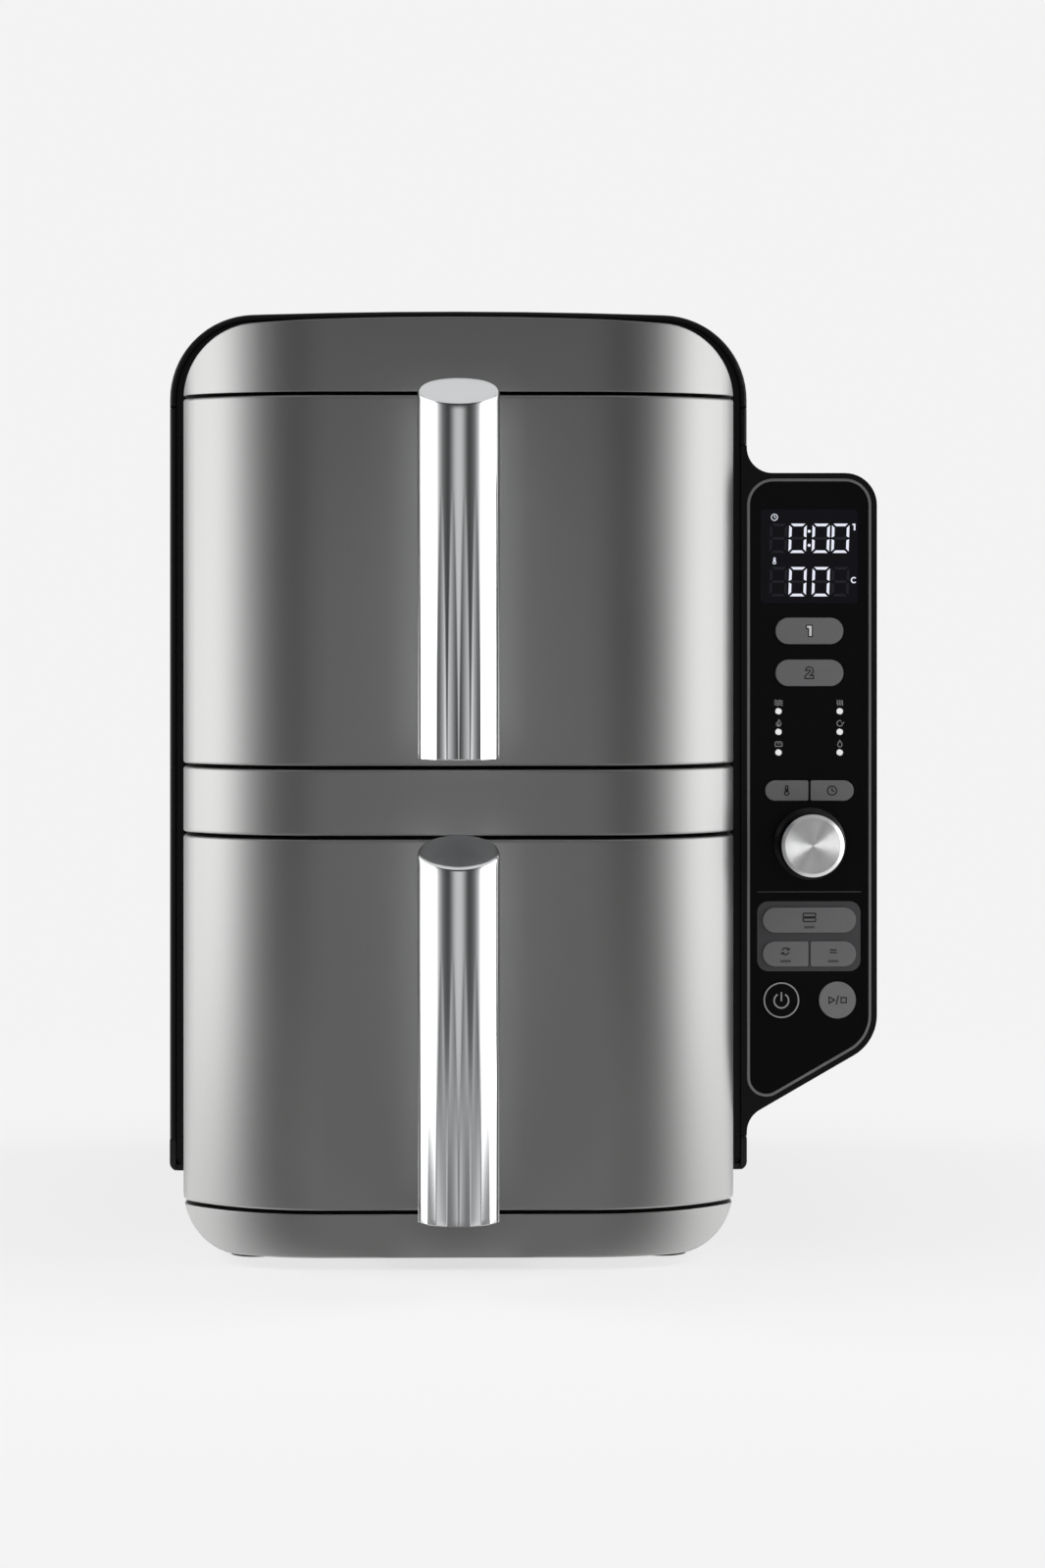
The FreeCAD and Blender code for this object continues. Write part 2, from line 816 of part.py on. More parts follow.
def gland_place():
    return f"({SHELL}-screw_inset-gland_inset)", f"({SHELL_LOW}+gland_inset)"


def rear_cover():
    body = new_body("rear_cover")
    view = sketch_on(body, "XZ", ("0", f"{REAR}+case_gap", "0"))
    outline(view, case_view("0", SHELL_LOW, SHELL_TOP))
    pad(body, view, "rear_depth-case_gap")
    soften(body, "rear_round", facing_edge("shell_back"))
    hollow = sketch_on(body, "XZ", ("0", f"{REAR}-overcut", "0"))
    inset = "shell_wall"
    outline(hollow, case_view(inset, f"({SHELL_LOW}+{inset})", f"({SHELL_TOP}-{inset})"))
    pocket(body, hollow, "rear_depth+overcut-rear_round")
    deep = sketch_on(body, "XZ", ("0", f"{REAR}-overcut", "0"))
    inset = "rear_round"
    outline(deep, case_view(inset, f"({SHELL_LOW}+{inset})", f"({SHELL_TOP}-{inset})"))
    pocket(body, deep, "rear_depth+overcut-shell_wall")
    for level in DRAWERS.values():
        slot = sketch_on(body, "XZ", ("0", "shell_back-2*shell_wall", "0"))
        low = f"{fan_height(level)}-(vent_count-1)*vent_pitch/2"
        outline(slot, rectangle("-vent_width/2", f"{low}-vent_slot/2",
                                "vent_width/2", f"{low}+vent_slot/2", "(vent_slot-least_side)/2"))
        row_of(body, pocket(body, slot, "3*shell_wall"), slot, "V_Axis", "vent_count", "vent_pitch")
    holes = sketch_on(body, "XZ", ("0", "shell_back-2*shell_wall", "0"))
    for x, z in screw_places():
        circle(holes, x, z, "screw_shank+case_gap/2")
    x, z = gland_place()
    circle(holes, x, z, "gland_radius+case_gap/2")
    pocket(body, holes, "3*shell_wall")
    finish(body, "rear_cover")


def case_screws():
    """Pan-head screws that hold the rear cover."""
    screws = []
    for index, (x, z) in enumerate(screw_places()):
        body = new_body(f"screw_{index}")
        start = "(-2*shell_wall)"
        profile = sketch_on(body, "YZ", (x, "shell_back", z))
        outline(profile, [(start, "0"), (start, "screw_shank"), ("0", "screw_shank"),
                          ("0", "screw_head"), ("screw_rise", "screw_head", "screw_rise/2"),
                          ("screw_rise", "0")])
        revolve(body, profile)
        screws.append(body)
    finish(group("case_screws", *screws), "case_screws")


def cord_gland():
    x, z = gland_place()
    body = new_body("cord_gland")
    profile = sketch_on(body, "YZ", (x, "shell_back", z))
    outline(profile, [("-2*shell_wall", "gland_bore"), ("-2*shell_wall", "gland_radius"),
                      ("0", "gland_radius"), ("0", "gland_radius+gland_lip"),
                      ("gland_lip", "gland_radius+gland_lip", "gland_lip/2"),
                      ("gland_lip", "gland_bore")])
    revolve(body, profile)
    finish(body, "cord_gland")


# Hot chambers
def cavity(place_name, level):
    """Sheet steel chamber, flanged to the frame, with holes for the shaft and the heater's ends."""
    half = "cavity_width/2"
    low = f"({level}+cavity_rise)"
    wall = "cavity_wall"
    outer = block("cavity_outer", (f"-{half}-{wall}", CHAMBER, f"{low}-{wall}"),
                  (f"cavity_width+2*{wall}", f"cavity_depth+{wall}", f"cavity_height+2*{wall}"))
    flange = block("cavity_lip", (f"-{half}-cavity_flange", CHAMBER, f"{low}-cavity_flange"),
                   ("cavity_width+2*cavity_flange", wall, "cavity_height+2*cavity_flange"))
    inner = block("cavity_inner", (f"-{half}", f"{CHAMBER}-overcut", low),
                  ("cavity_width", "cavity_depth+overcut", "cavity_height"))
    centre = fan_height(level)
    tools = [inner, rod("shaft_hole", ("0", f"{CHAMBER_END}-overcut", centre), "y",
                        "shaft_radius+shaft_end", f"{wall}+2*overcut")]
    for x, z in heater_ends(centre):
        tools.append(rod("heater_hole", (x, f"{CHAMBER_END}-overcut", z), "y",
                         "heater_tube+case_gap", f"{wall}+2*overcut"))
    label = place_name + "_cavity"
    finish(cut(label, fuse(label + "_sheet", outer, flange), *tools), label)


def heater_turns():
    """The radii of the element's outer and inner turn."""
    return ("heater_ring", "(heater_ring-heater_pitch)")


def heater_ends(centre):
    """Where the two tails of the element leave through the chamber's back, as (x, z)."""
    return [(f"-{radius}*sin(heater_break)", f"({centre}-{radius}*cos(heater_break))")
            for radius in heater_turns()]


def elbow(x, z):
    """The round corner where two lengths of the element's tube meet."""
    corner = doc.addObject("Part::Sphere", "elbow")
    bind(corner, "Radius", "heater_elbow")
    place(corner, x, HEATER, z)
    return corner


def heater(place_name, level):
    """Tubular element: an outer turn, a hairpin and an inner turn back, with two straight tails."""
    label = place_name + "_heater"
    centre = fan_height(level)
    gap = number("heater_break")
    middle = "(heater_ring-heater_pitch/2)"
    pieces = [ring("hairpin", (f"{middle}*sin(heater_break)", HEATER,
                               f"{centre}-{middle}*cos(heater_break)"),
                   "heater_pitch/2", "heater_tube", 90 - gap, 180)]
    for radius in heater_turns():
        pieces.append(ring("turn", ("0", HEATER, centre), radius, "heater_tube",
                           90 + gap, 360 - 2 * gap))
    for x, z in heater_ends(centre):
        pieces.append(elbow(x, z))
        pieces.append(elbow(f"(-({x}))", z))
        pieces.append(rod("tail", (x, HEATER, z), "y", "heater_tube",
                          f"{MOTOR}+heater_tail-{HEATER}"))
    finish(fuse(label, *pieces), label)


def fan_guard(place_name, level):
    """Perforated plate across the chamber, in front of the heater and the fan."""
    label = place_name + "_fan_guard"
    body = new_body(label)
    centre = fan_height(level)
    view = sketch_on(body, "XZ", ("0", GUARD, centre))
    half = "(cavity_width/2-case_gap)"
    rise = "(cavity_height/2-case_gap)"
    outline(view, rectangle(f"-{half}", f"-{rise}", half, rise, "sheet_corner"))
    pad(body, view, "guard_thick")
    slot = sketch_on(body, "XZ", ("0", f"{GUARD}-overcut", centre))
    outline(slot, rectangle("-guard_slot/2", "guard_inner", "guard_slot/2", "guard_outer",
                            "(guard_slot-least_side)/2"))
    polar(body, pocket(body, slot, "guard_thick+2*overcut"), slot, "guard_slots")
    finish(body, label)


def bladed_wheel(label, centre, back, radius, depth, blades, lean):
    """A wheel on the shaft: hub, back plate and leaning blades in front of the plate."""
    body = new_body(label)
    bore = "(shaft_radius+shaft_gap/2)"
    profile = sketch_on(body, "YZ", ("0", back, centre))
    front = f"(-fan_plate-{depth})"
    outline(profile, [("0", bore), ("0", radius), ("-fan_plate", radius),
                      ("-fan_plate", "hub_radius"), (front, "hub_radius", "hub_round"),
                      (front, bore)])
    revolve(body, profile)
    blade = sketch_on(body, "XZ", ("0", f"{back}-fan_plate-{depth}", centre))
    root = "hub_radius-blade_thick"
    tip = f"{radius}-blade_thick"
    outline(blade, [(root, "-blade_thick/2"), (tip, f"{lean}-blade_thick/2"),
                    (tip, f"{lean}+blade_thick/2"), (root, "blade_thick/2")])
    polar(body, pad(body, blade, depth + "+fan_plate/2"), blade, blades)
    finish(body, label)


def fan_drive(place_name, level):
    """Motor on the back of the chamber, its shaft, the hot fan and the motor's own cooling fan."""
    centre = fan_height(level)
    bladed_wheel(place_name + "_fan", centre, FAN_BACK, "fan_radius", "fan_blade", "fan_blades",
                 "fan_lean")
    bladed_wheel(place_name + "_cooling_fan", centre, f"({COOLER}+cooler_depth+fan_plate)",
                 "cooler_radius", "cooler_depth", "cooler_blades", "cooler_lean")
    start = f"({FAN_BACK}-fan_plate-fan_blade-shaft_end)"
    shaft = rod("shaft_bar", ("0", start, centre), "y", "shaft_radius",
                f"{COOLER}+cooler_depth+fan_plate+shaft_end-{start}")
    label = place_name + "_motor_shaft"
    finish(group(label, shaft), label)
    label = place_name + "_motor"
    body = new_body(label)
    profile = sketch_on(body, "YZ", ("0", MOTOR, centre))
    bore = "(shaft_radius+shaft_gap)"
    can = "(motor_plate+motor_length-motor_neck)"
    outline(profile, [("0", bore), ("0", "motor_flange"), ("motor_plate", "motor_flange"),
                      ("motor_plate", "motor_radius"), (can, "motor_radius", "motor_neck"),
                      (can, "hub_radius"), ("motor_plate+motor_length", "hub_radius"),
                      ("motor_plate+motor_length", bore)])
    revolve(body, profile)
    finish(body, label)


def drawer_runners():
    """Angle rails on the chamber walls; the basket's rim slides on them."""
    rails = []
    for level in DRAWERS.values():
        top = f"({level}+basket_rise+basket_height-rim_thick-runner_gap)"
        for side in (-1, 1):
            body = new_body("runner")
            wall = f"{side}*cavity_width/2"
            tip = f"{side}*(basket_width/2+2*runner_gap)"
            web = f"{side}*(cavity_width/2-runner_thick)"
            view = sketch_on(body, "XZ", ("0", f"{CHAMBER}+runner_thick", "0"))
            outline(view, [(wall, top), (tip, top), (tip, f"{top}-runner_thick"),
                           (web, f"{top}-runner_thick"), (web, f"{top}-runner_drop"),
                           (wall, f"{top}-runner_drop")])
            pad(body, view, "runner_length")
            rails.append(body)
    finish(group("drawer_runners", *rails), "drawer_runners")


# Drawers
def drawer_front(place_name, level):
    """Hollow front of a drawer; the lower one's corners carry on the base's rounding."""
    label = place_name + "_drawer_front"
    cover = front_cover(label + "_cover", level, "drawer_height", DRAWER_BACK)
    if level == LOWER:
        view = footed(HALF, "foot_height", f"({level}+drawer_height+overcut)", "base_corner")
        cover = trimmed(label + "_form", cover, view, DRAWER_BACK)
    finish(cover, label)


def drawer_liner(place_name, level):
    """The plate that closes the hollow front and carries the basket."""
    label = place_name + "_drawer_liner"
    body = new_body(label)
    inset = "(front_wall+case_gap)"
    view = sketch_on(body, "XZ", ("0", f"{DRAWER_BACK}-liner_thick", "0"))
    half = f"({HALF}-{inset})"
    outline(view, rectangle(f"-{half}", f"{level}+{inset}", half,
                            f"{level}+drawer_height-{inset}", "sheet_corner"))
    pad(body, view, "liner_thick")
    finish(body, label)


def pan_form(name, level, inset, height):
    """A rounded pan as a full block, set in by a wall, with its lower edge rounded."""
    body = new_body(name)
    low = f"({level}+basket_rise+{inset})"
    half = f"(basket_width/2-{inset})"
    plan = sketch_on(body, "XY", ("0", "0", low))
    outline(plan, rectangle(f"-{half}", f"{DRAWER_BACK}+{inset}", half,
                            f"{DRAWER_BACK}+basket_depth-{inset}", f"basket_corner-{inset}"))
    pad(body, plan, height)
    soften(body, f"basket_foot-{inset}", level_edge(low))
    return body


def basket(place_name, level):
    """Deep drawn pan with round lower edges and a rim that rides on the runners."""
    label = place_name + "_basket"
    rim = new_body("basket_rim")
    half = "(basket_width/2+rim_width)"
    plan = sketch_on(rim, "XY", ("0", "0", f"{level}+basket_rise+basket_height-rim_thick"))
    outline(plan, rectangle(f"-{half}", DRAWER_BACK, half,
                            f"{DRAWER_BACK}+basket_depth+rim_width", "basket_corner+rim_width"))
    pad(rim, plan, "rim_thick")
    outer = pan_form("basket_outer", level, "0", "basket_height")
    inner = pan_form("basket_inner", level, "basket_wall", "basket_height")
    finish(cut(label, fuse(label + "_drawn", outer, rim), inner), label)


def plate_edges():
    """The crisper plate's half width, front and back."""
    half = "(basket_width/2-basket_wall-plate_gap)"
    front = f"({DRAWER_BACK}+basket_wall+plate_gap)"
    back = f"({DRAWER_BACK}+basket_depth-basket_wall-plate_gap)"
    return half, front, back


def crisper_plate(place_name, level):
    """Removable perforated plate with a turned-down edge, and the silicone bumpers it stands on."""
    half, front, back = plate_edges()
    floor = f"({level}+basket_rise+basket_wall)"
    low = f"({floor}+plate_rise)"
    label = place_name + "_crisper_plate"
    body = new_body(label)
    plan = sketch_on(body, "XY", ("0", "0", f"{low}-plate_rim"))
    outline(plan, rectangle(f"-{half}", front, half, back, "basket_corner-plate_gap"))
    pad(body, plan, "plate_rim+plate_thick")
    soften(body, "plate_round", level_edge(f"{low}+plate_thick"))
    under = sketch_on(body, "XY", ("0", "0", f"{low}-plate_rim-overcut"))
    outline(under, rectangle(f"-{half}+plate_thick", f"{front}+plate_thick", f"{half}-plate_thick",
                             f"{back}-plate_thick", "basket_corner-plate_gap-plate_thick"))
    pocket(body, under, "plate_rim+overcut")
    holes = sketch_on(body, "XY", ("0", "0", f"{low}-overcut"))
    across = f"({half}*2/(plate_columns+1))"
    along = f"(({back}-{front})/(plate_rows+1))"
    for column in range(int(number("plate_columns"))):
        circle(holes, f"-{half}+{across}*{column + 1}", f"{front}+{along}", "plate_hole")
    row_of(body, pocket(body, holes, "plate_thick+2*overcut"), holes, "V_Axis", "plate_rows", along)
    finish(body, label)
    bumpers = []
    for sign in ("-", ""):
        for y in (f"({front}+basket_corner)", f"({back}-basket_corner-bumper_length)"):
            inner = "(basket_width/2-basket_foot-bumper_thick)"
            start = f"-{inner}-bumper_thick" if sign else inner
            bumpers.append(block("bumper", (start, y, f"{floor}+case_gap"),
                                 ("bumper_thick", "bumper_length", "plate_rise-case_gap")))
    label = place_name + "_crisper_bumpers"
    finish(group(label, *bumpers), label)


# Handles
def grip(place_name, level):
    """Round upright handle: slanted top, and shallow hollow flutes that fade out upwards."""
    label = place_name + "_handle"
    body = new_body(label)
    low = f"({level}+grip_foot)"
    high = f"({level}+drawer_height+grip_head)"
    axis = "(-grip_axis)"
    section = sketch_on(body, "XY", ("0", axis, low))
    circle(section, "0", "0", GRIP_RADIUS)
    pad(body, section, f"{high}-{low}")
    reach = f"({GRIP_RADIUS}+overcut)"
    top = sketch_on(body, "YZ", (f"-{reach}", axis, high))
    outline(top, [(reach, "overcut*tan(grip_slope)"), (reach, "grip_diameter"),
                  (f"-{reach}", "grip_diameter"),
                  (f"-{reach}", "-(grip_diameter+overcut)*tan(grip_slope)")])
    pocket(body, top, f"2*{reach}")
    bend = number(f"{high}-{GRIP_RADIUS}*tan(grip_slope)")
    soften(body, "grip_round", lambda box: box.ZLength > 5 and abs(box.Center.z - bend) < 1)
    flute = sketch_on(body, "XY", ("0", axis, f"{low}-overcut"))
    lean = math.degrees(math.atan(number("flute_depth/flute_length")))
    flute.AttachmentOffset = Placement(flute.AttachmentOffset.Base, Rotation(Vector(1, 0, 0), lean))
    circle(flute, "0", f"-({GRIP_RADIUS}+flute_radius-flute_depth)", "flute_radius")
    groove = pocket(body, flute, "flute_run")
    polar(body, groove, section, "flute_count")
    finish(body, label)


def handle_posts(place_name, level):
    """Two short arms between the drawer front and the handle, hidden behind it."""
    posts = []
    half = "post_width/2"
    for z in (f"({level}+grip_foot+post_inset)", f"({level}+drawer_height-post_inset-post_height)"):
        body = new_body("post")
        view = sketch_on(body, "XZ", ("0", "-grip_axis", "0"))
        outline(view, rectangle(f"-{half}", z, half, f"{z}+post_height", "post_round"))
        pad(body, view, "grip_axis")
        bore = rod("post_seat", ("0", "-grip_axis", f"{z}-overcut"), "z", GRIP_RADIUS,
                   "post_height+2*overcut")
        posts.append(cut("handle_post", body, bore))
    label = place_name + "_handle_posts"
    finish(group(label, *posts), label)


# Control pod
def trim_outline(inset):
    """Outline of the pod's face, set in evenly: upright sides, slanting foot, round corners."""
    left = f"({SHELL}+{inset})"
    right = f"({TRIM_RIGHT}-{inset})"
    top = f"({TRIM_TOP}-{inset})"
    shift = f"({TRIM_LOW}+{inset}/cos(trim_slope))"
    return [(left, f"{shift}+{inset}*tan(trim_slope)", f"trim_toe-{inset}"),
            (right, f"{shift}+(trim_width-{inset})*tan(trim_slope)", f"trim_heel-{inset}"),
            (right, top, f"trim_corner-{inset}"), (left, top, f"trim_corner-{inset}")]


def pod_shell():
    body = new_body("pod_shell")
    view = sketch_on(body, "XZ", ("0", "shell_front", "0"))
    inner = f"({SHELL}-shell_wall)"
    outline(view, [
        (inner, POD_LOW), (SHELL, POD_LOW), (SHELL, POD_TOE, "pod_blend"),
        (POD_RIGHT, f"{POD_TOE}+(trim_width+pod_rim)*tan(trim_slope)", "trim_heel+pod_rim"),
        (POD_RIGHT, POD_TOP, "trim_corner+pod_rim"), (SHELL, POD_TOP, "pod_blend"),
        (SHELL, POD_HIGH), (inner, POD_HIGH),
    ])
    pad(body, view, "pod_depth")
    mouth = sketch_on(body, "XZ", ("0", "shell_front-overcut", "0"))
    outline(mouth, trim_outline("0"))
    pocket(body, mouth, "pod_depth+overcut-pod_back")
    finish(body, "pod_shell")


def pod_trim():
    body = new_body("pod_trim")
    view = sketch_on(body, "XZ", ("0", "shell_front", "0"))
    outline(view, trim_outline("trim_gap"))
    outline(view, trim_outline("(trim_gap+trim_wall)"))
    pad(body, view, "trim_depth")
    finish(body, "pod_trim")


def keys():
    """Every key as label, centre x and z, width, height, left and right corner radius."""
    full = "/2-least_side/2"
    rows = [("zone_one_key", "zone_width", "zone_height", "zone_z"),
            ("zone_two_key", "zone_width", "zone_height", "zone_z-zone_pitch"),
            ("stack_key", "stack_width", "stack_height", "stack_z")]
    table = [(label, PANEL_X, f"({TRIM_LOW}+{z})", width, height, height + full, height + full)
             for label, width, height, z in rows]
    for left, right, width, height, z in (("temperature_key", "time_key", "pair_width",
                                           "pair_height", "pair_z"),
                                          ("sync_key", "match_key", "stack_width",
                                           "stack_height", "match_z")):
        each = f"(({width}-key_split)/2)"
        middle = f"({width}+key_split)/4"
        level = f"({TRIM_LOW}+{z})"
        table.append((left, f"({PANEL_X}-{middle})", level, each, height, height + full, "key_round"))
        table.append((right, f"({PANEL_X}+{middle})", level, each, height, "key_round", height + full))
    for label, side in (("power_key", "-"), ("start_key", "+")):
        across = "(2*round_radius)"
        table.append((label, f"({PANEL_X}{side}round_x)", f"({TRIM_LOW}+round_z)", across, across,
                      "round_radius-least_side/2", "round_radius-least_side/2"))
    return table


def key_outline(key, grow):
    label, x, z, width, height, left, right = key
    half = f"({width}/2+{grow})"
    rise = f"({height}/2+{grow})"
    return [(f"{x}-{half}", f"{z}-{rise}", f"{left}+{grow}"),
            (f"{x}+{half}", f"{z}-{rise}", f"{right}+{grow}"),
            (f"{x}+{half}", f"{z}+{rise}", f"{right}+{grow}"),
            (f"{x}-{half}", f"{z}+{rise}", f"{left}+{grow}")]


def display_outline(grow):
    half = f"(display_width/2+{grow})"
    rise = f"(display_height/2+{grow})"
    level = f"({TRIM_LOW}+display_z)"
    return rectangle(f"{PANEL_X}-{half}", f"{level}-{rise}", f"{PANEL_X}+{half}",
                     f"{level}+{rise}", f"display_corner+{grow}")


def light_places():
    return [(f"({PANEL_X}{side}light_x)", f"({TRIM_LOW}+light_z-{row}*light_pitch)")
            for side in ("-", "+") for row in range(3)]


def control_panel():
    body = new_body("control_panel")
    view = sketch_on(body, "XZ", ("0", PANEL, "0"))
    outline(view, trim_outline("(2*trim_gap+trim_wall)"))
    pad(body, view, "panel_thick")
    openings = [display_outline("trim_gap")] + [key_outline(key, "key_gap") for key in keys()]
    for corners in openings:
        opening = sketch_on(body, "XZ", ("0", f"{PANEL}-overcut", "0"))
        outline(opening, corners)
        pocket(body, opening, "panel_thick+2*overcut")
    holes = sketch_on(body, "XZ", ("0", f"{PANEL}-overcut", "0"))
    for x, z in light_places():
        circle(holes, x, z, "light_radius+trim_gap")
    circle(holes, PANEL_X, f"{TRIM_LOW}+dial_z", "dial_shaft+overcut")
    pocket(body, holes, "panel_thick+2*overcut")
    finish(body, "control_panel")


SEAT = f"({PANEL_BACK}+dial_gap)"
SWITCH = f"({SEAT}+key_flange+stem_length+key_travel+dial_gap)"


def key_caps():
    """Sprung keys: a cap through the panel, a lip behind it and a stem over its switch."""
    for key in keys():
        label, x, z, width, height = key[:5]
        body = new_body(label)
        front = f"({PANEL}-key_rise)"
        view = sketch_on(body, "XZ", ("0", front, "0"))
        outline(view, key_outline(key, "0"))
        pad(body, view, f"{SEAT}+key_flange/2-{front}")
        soften(body, "key_gap", facing_edge(front))
        lip = sketch_on(body, "XZ", ("0", SEAT, "0"))
        half = f"({width}/2-key_round)"
        rise = f"({height}/2+key_lip)"
        outline(lip, rectangle(f"{x}-{half}", f"{z}-{rise}", f"{x}+{half}", f"{z}+{rise}",
                               "lip_corner"))
        pad(body, lip, "key_flange")
        stem = sketch_on(body, "XZ", ("0", SEAT, "0"))
        circle(stem, x, z, "stem_radius")
        pad(body, stem, "key_flange+stem_length")
        finish(body, label)


def display_module():
    body = new_body("display_module")
    view = sketch_on(body, "XZ", ("0", PANEL, "0"))
    outline(view, display_outline("0"))
    pad(body, view, f"{BOARD}-{PANEL}")
    finish(body, "display_module")


def indicator_lights():
    lights = [rod("light", (x, PANEL, z), "y", "light_radius", f"{BOARD}-{PANEL}")
              for x, z in light_places()]
    finish(group("indicator_lights", *lights), "indicator_lights")


def control_board():
    """Circuit board behind the panel, with a switch under each key, on four pillars."""
    body = new_body("control_board_plate")
    view = sketch_on(body, "XZ", ("0", BOARD, "0"))
    outline(view, trim_outline("board_inset"))
    pad(body, view, "board_thick")
    pieces = [body]
    half = "switch_size/2"
    for key in keys():
        x, z = key[1:3]
        pieces.append(block("switch", (f"{x}-{half}", SWITCH, f"{z}-{half}"),
                            ("switch_size", f"{BOARD}-{SWITCH}", "switch_size")))
    side = "(trim_width/2-board_inset-pillar_inset)"
    spots = [(f"({PANEL_X}-{side})", f"({TRIM_TOP}-pillar_drop)"),
             (f"({PANEL_X}+{side})", f"({TRIM_TOP}-pillar_drop)"),
             (f"({PANEL_X}-{side})", f"({TRIM_LOW}+pillar_low)"),
             (f"({PANEL_X}+pillar_shift)", f"({TRIM_LOW}+pillar_mid)")]
    for x, z in spots:
        pieces.append(rod("pillar", (x, PANEL_BACK, z), "y", "pillar_radius", "board_setback"))
    finish(group("control_board", *pieces), "control_board")


def dial():
    """Turning dial: a flared knob on its shaft, a metal cap, and the encoder that carries them."""
    level = f"({TRIM_LOW}+dial_z)"
    body = new_body("dial_knob")
    profile = sketch_on(body, "YZ", (PANEL_X, PANEL, level))
    skirt = "(-dial_gap)"
    front = "(-dial_height+cap_thick)"
    end = f"({BOARD}-dial_gap-{PANEL})"
    outline(profile, [(end, "0"), (end, "dial_shaft"), (skirt, "dial_shaft"), (skirt, "dial_skirt"),
                      (f"{skirt}-dial_flare", "dial_skirt", "dial_round"),
                      (f"{skirt}-2*dial_flare", "dial_radius", "dial_waist"), (front, "dial_radius"),
                      (front, "0")])
    revolve(body, profile)
    finish(body, "dial_knob")
    body = new_body("dial_cap")
    profile = sketch_on(body, "YZ", (PANEL_X, PANEL, level))
    outline(profile, [(front, "0"), (front, "dial_radius"),
                      ("-dial_height+cap_bevel", "dial_radius"),
                      ("-dial_height", "dial_radius-cap_bevel"), ("-dial_height", "0")])
    revolve(body, profile)
    finish(body, "dial_cap")
    half = "encoder_size/2"
    case = block("encoder_case", (f"{PANEL_X}-{half}", f"{BOARD}-encoder_bush", f"{level}-{half}"),
                 ("encoder_size", "encoder_bush", "encoder_size"))
    neck = rod("encoder_neck", (PANEL_X, PANEL_BACK, level), "y", "dial_shaft+encoder_wall",
               "board_setback-encoder_bush/2")
    bore = rod("encoder_bore", (PANEL_X, f"{PANEL_BACK}-overcut", level), "y", "dial_shaft+shaft_gap",
               "board_setback+overcut")
    finish(cut("dial_encoder", fuse("encoder_body", case, neck), bore), "dial_encoder")


# Power electronics
def power_board():
    """Mains board on pillars above the upper chamber: relay, filter, capacitors and heat sink."""
    low = f"({UPPER}+cavity_rise+cavity_height+cavity_wall)"
    top = f"({low}+power_lift+board_thick)"
    half = "(power_width/2)"
    front = f"({CHAMBER}+power_setback)"
    plate = block("power_plate", (f"-{half}", front, f"{low}+power_lift"),
                  ("power_width", "power_length", "board_thick"))
    pieces = [plate]
    for x in (f"-{half}+power_margin", f"{half}-power_margin"):
        for y in (f"{front}+power_margin", f"{front}+power_length-power_margin"):
            pieces.append(rod("power_post", (x, y, low), "z", "power_pillar", "power_lift"))
    left = f"(-{half}+power_inset)"
    near = f"({front}+power_inset)"
    pieces.append(block("coil", (left, near, top), ("coil_width", "coil_length", "coil_height")))
    for index in range(RELAYS):
        spot = (f"{half}-power_inset-relay_width", f"{near}+{index}*relay_pitch", top)
        pieces.append(block("relay", spot, ("relay_width", "relay_length", "relay_height")))
    for index in range(CANS):
        spot = (f"{left}+can_radius+{index}*can_pitch", f"{front}+can_y", top)
        pieces.append(rod("can", spot, "z", "can_radius", "can_height"))
    for index in range(FINS):
        spot = (f"{left}+{index}*fin_pitch", f"{front}+fin_y", top)
        pieces.append(block("fin", spot, ("fin_thick", "fin_length", "fin_height")))
    finish(group("power_board", *pieces), "power_board")


def build():
    fill_sheet()
    base_tray()
    rubber_feet()
    chassis_pan()
    front_frame()
    top_fascia()
    middle_fascia()
    side_panels()
    top_cover()
    rear_cover()
    case_screws()
    cord_gland()
    drawer_runners()
    for place_name, level in DRAWERS.items():
        cavity(place_name, level)
        heater(place_name, level)
        fan_guard(place_name, level)
        fan_drive(place_name, level)
        drawer_front(place_name, level)
        drawer_liner(place_name, level)
        basket(place_name, level)
        crisper_plate(place_name, level)
        grip(place_name, level)
        handle_posts(place_name, level)
    pod_shell()
    pod_trim()
    control_panel()
    display_module()
    indicator_lights()
    control_board()
    key_caps()
    dial()
    power_board()
    doc.recompute()


def check():
    """Stop if anything in the document failed or a finished piece isn't a sound solid."""
    for item in doc.Objects:
        if "Invalid" in item.State or "Error" in item.State:
            raise RuntimeError(f"{item.Name} ({item.Label}) failed: {item.State}")
    for item in finished:
        if item.Shape.isNull() or not item.Shape.isValid() or not item.Shape.Solids:
            raise RuntimeError(f"{item.Label} has no sound solid")


def export():
    os.makedirs("parts", exist_ok=True)
    for item in finished:
        item.Shape.exportStep(f"parts/{item.Label}.step")


build()
check()
export()
print(len(finished), "pieces")
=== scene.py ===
"""Looks of a two-drawer stacked air fryer: finishes, printed marks, handles, dial and studio."""

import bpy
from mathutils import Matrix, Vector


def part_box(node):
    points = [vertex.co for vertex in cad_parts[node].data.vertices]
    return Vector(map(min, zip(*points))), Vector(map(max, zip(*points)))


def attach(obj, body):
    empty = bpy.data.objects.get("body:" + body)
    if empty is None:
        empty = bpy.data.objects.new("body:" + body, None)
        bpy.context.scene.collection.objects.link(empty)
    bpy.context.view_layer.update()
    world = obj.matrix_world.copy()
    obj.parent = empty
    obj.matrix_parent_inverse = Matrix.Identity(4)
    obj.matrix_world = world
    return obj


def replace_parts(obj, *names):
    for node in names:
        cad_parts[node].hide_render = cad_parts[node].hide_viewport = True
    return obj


bl_info = {
    "name": "Stacked air fryer looks",
    "version": (1, 0, 0),
    "blender": (4, 5, 0),
    "location": "3D View > Sidebar > Fryer",
    "description": "Finishes, printed marks, handles, dial and studio of a two-drawer air fryer",
    "category": "Object",
}

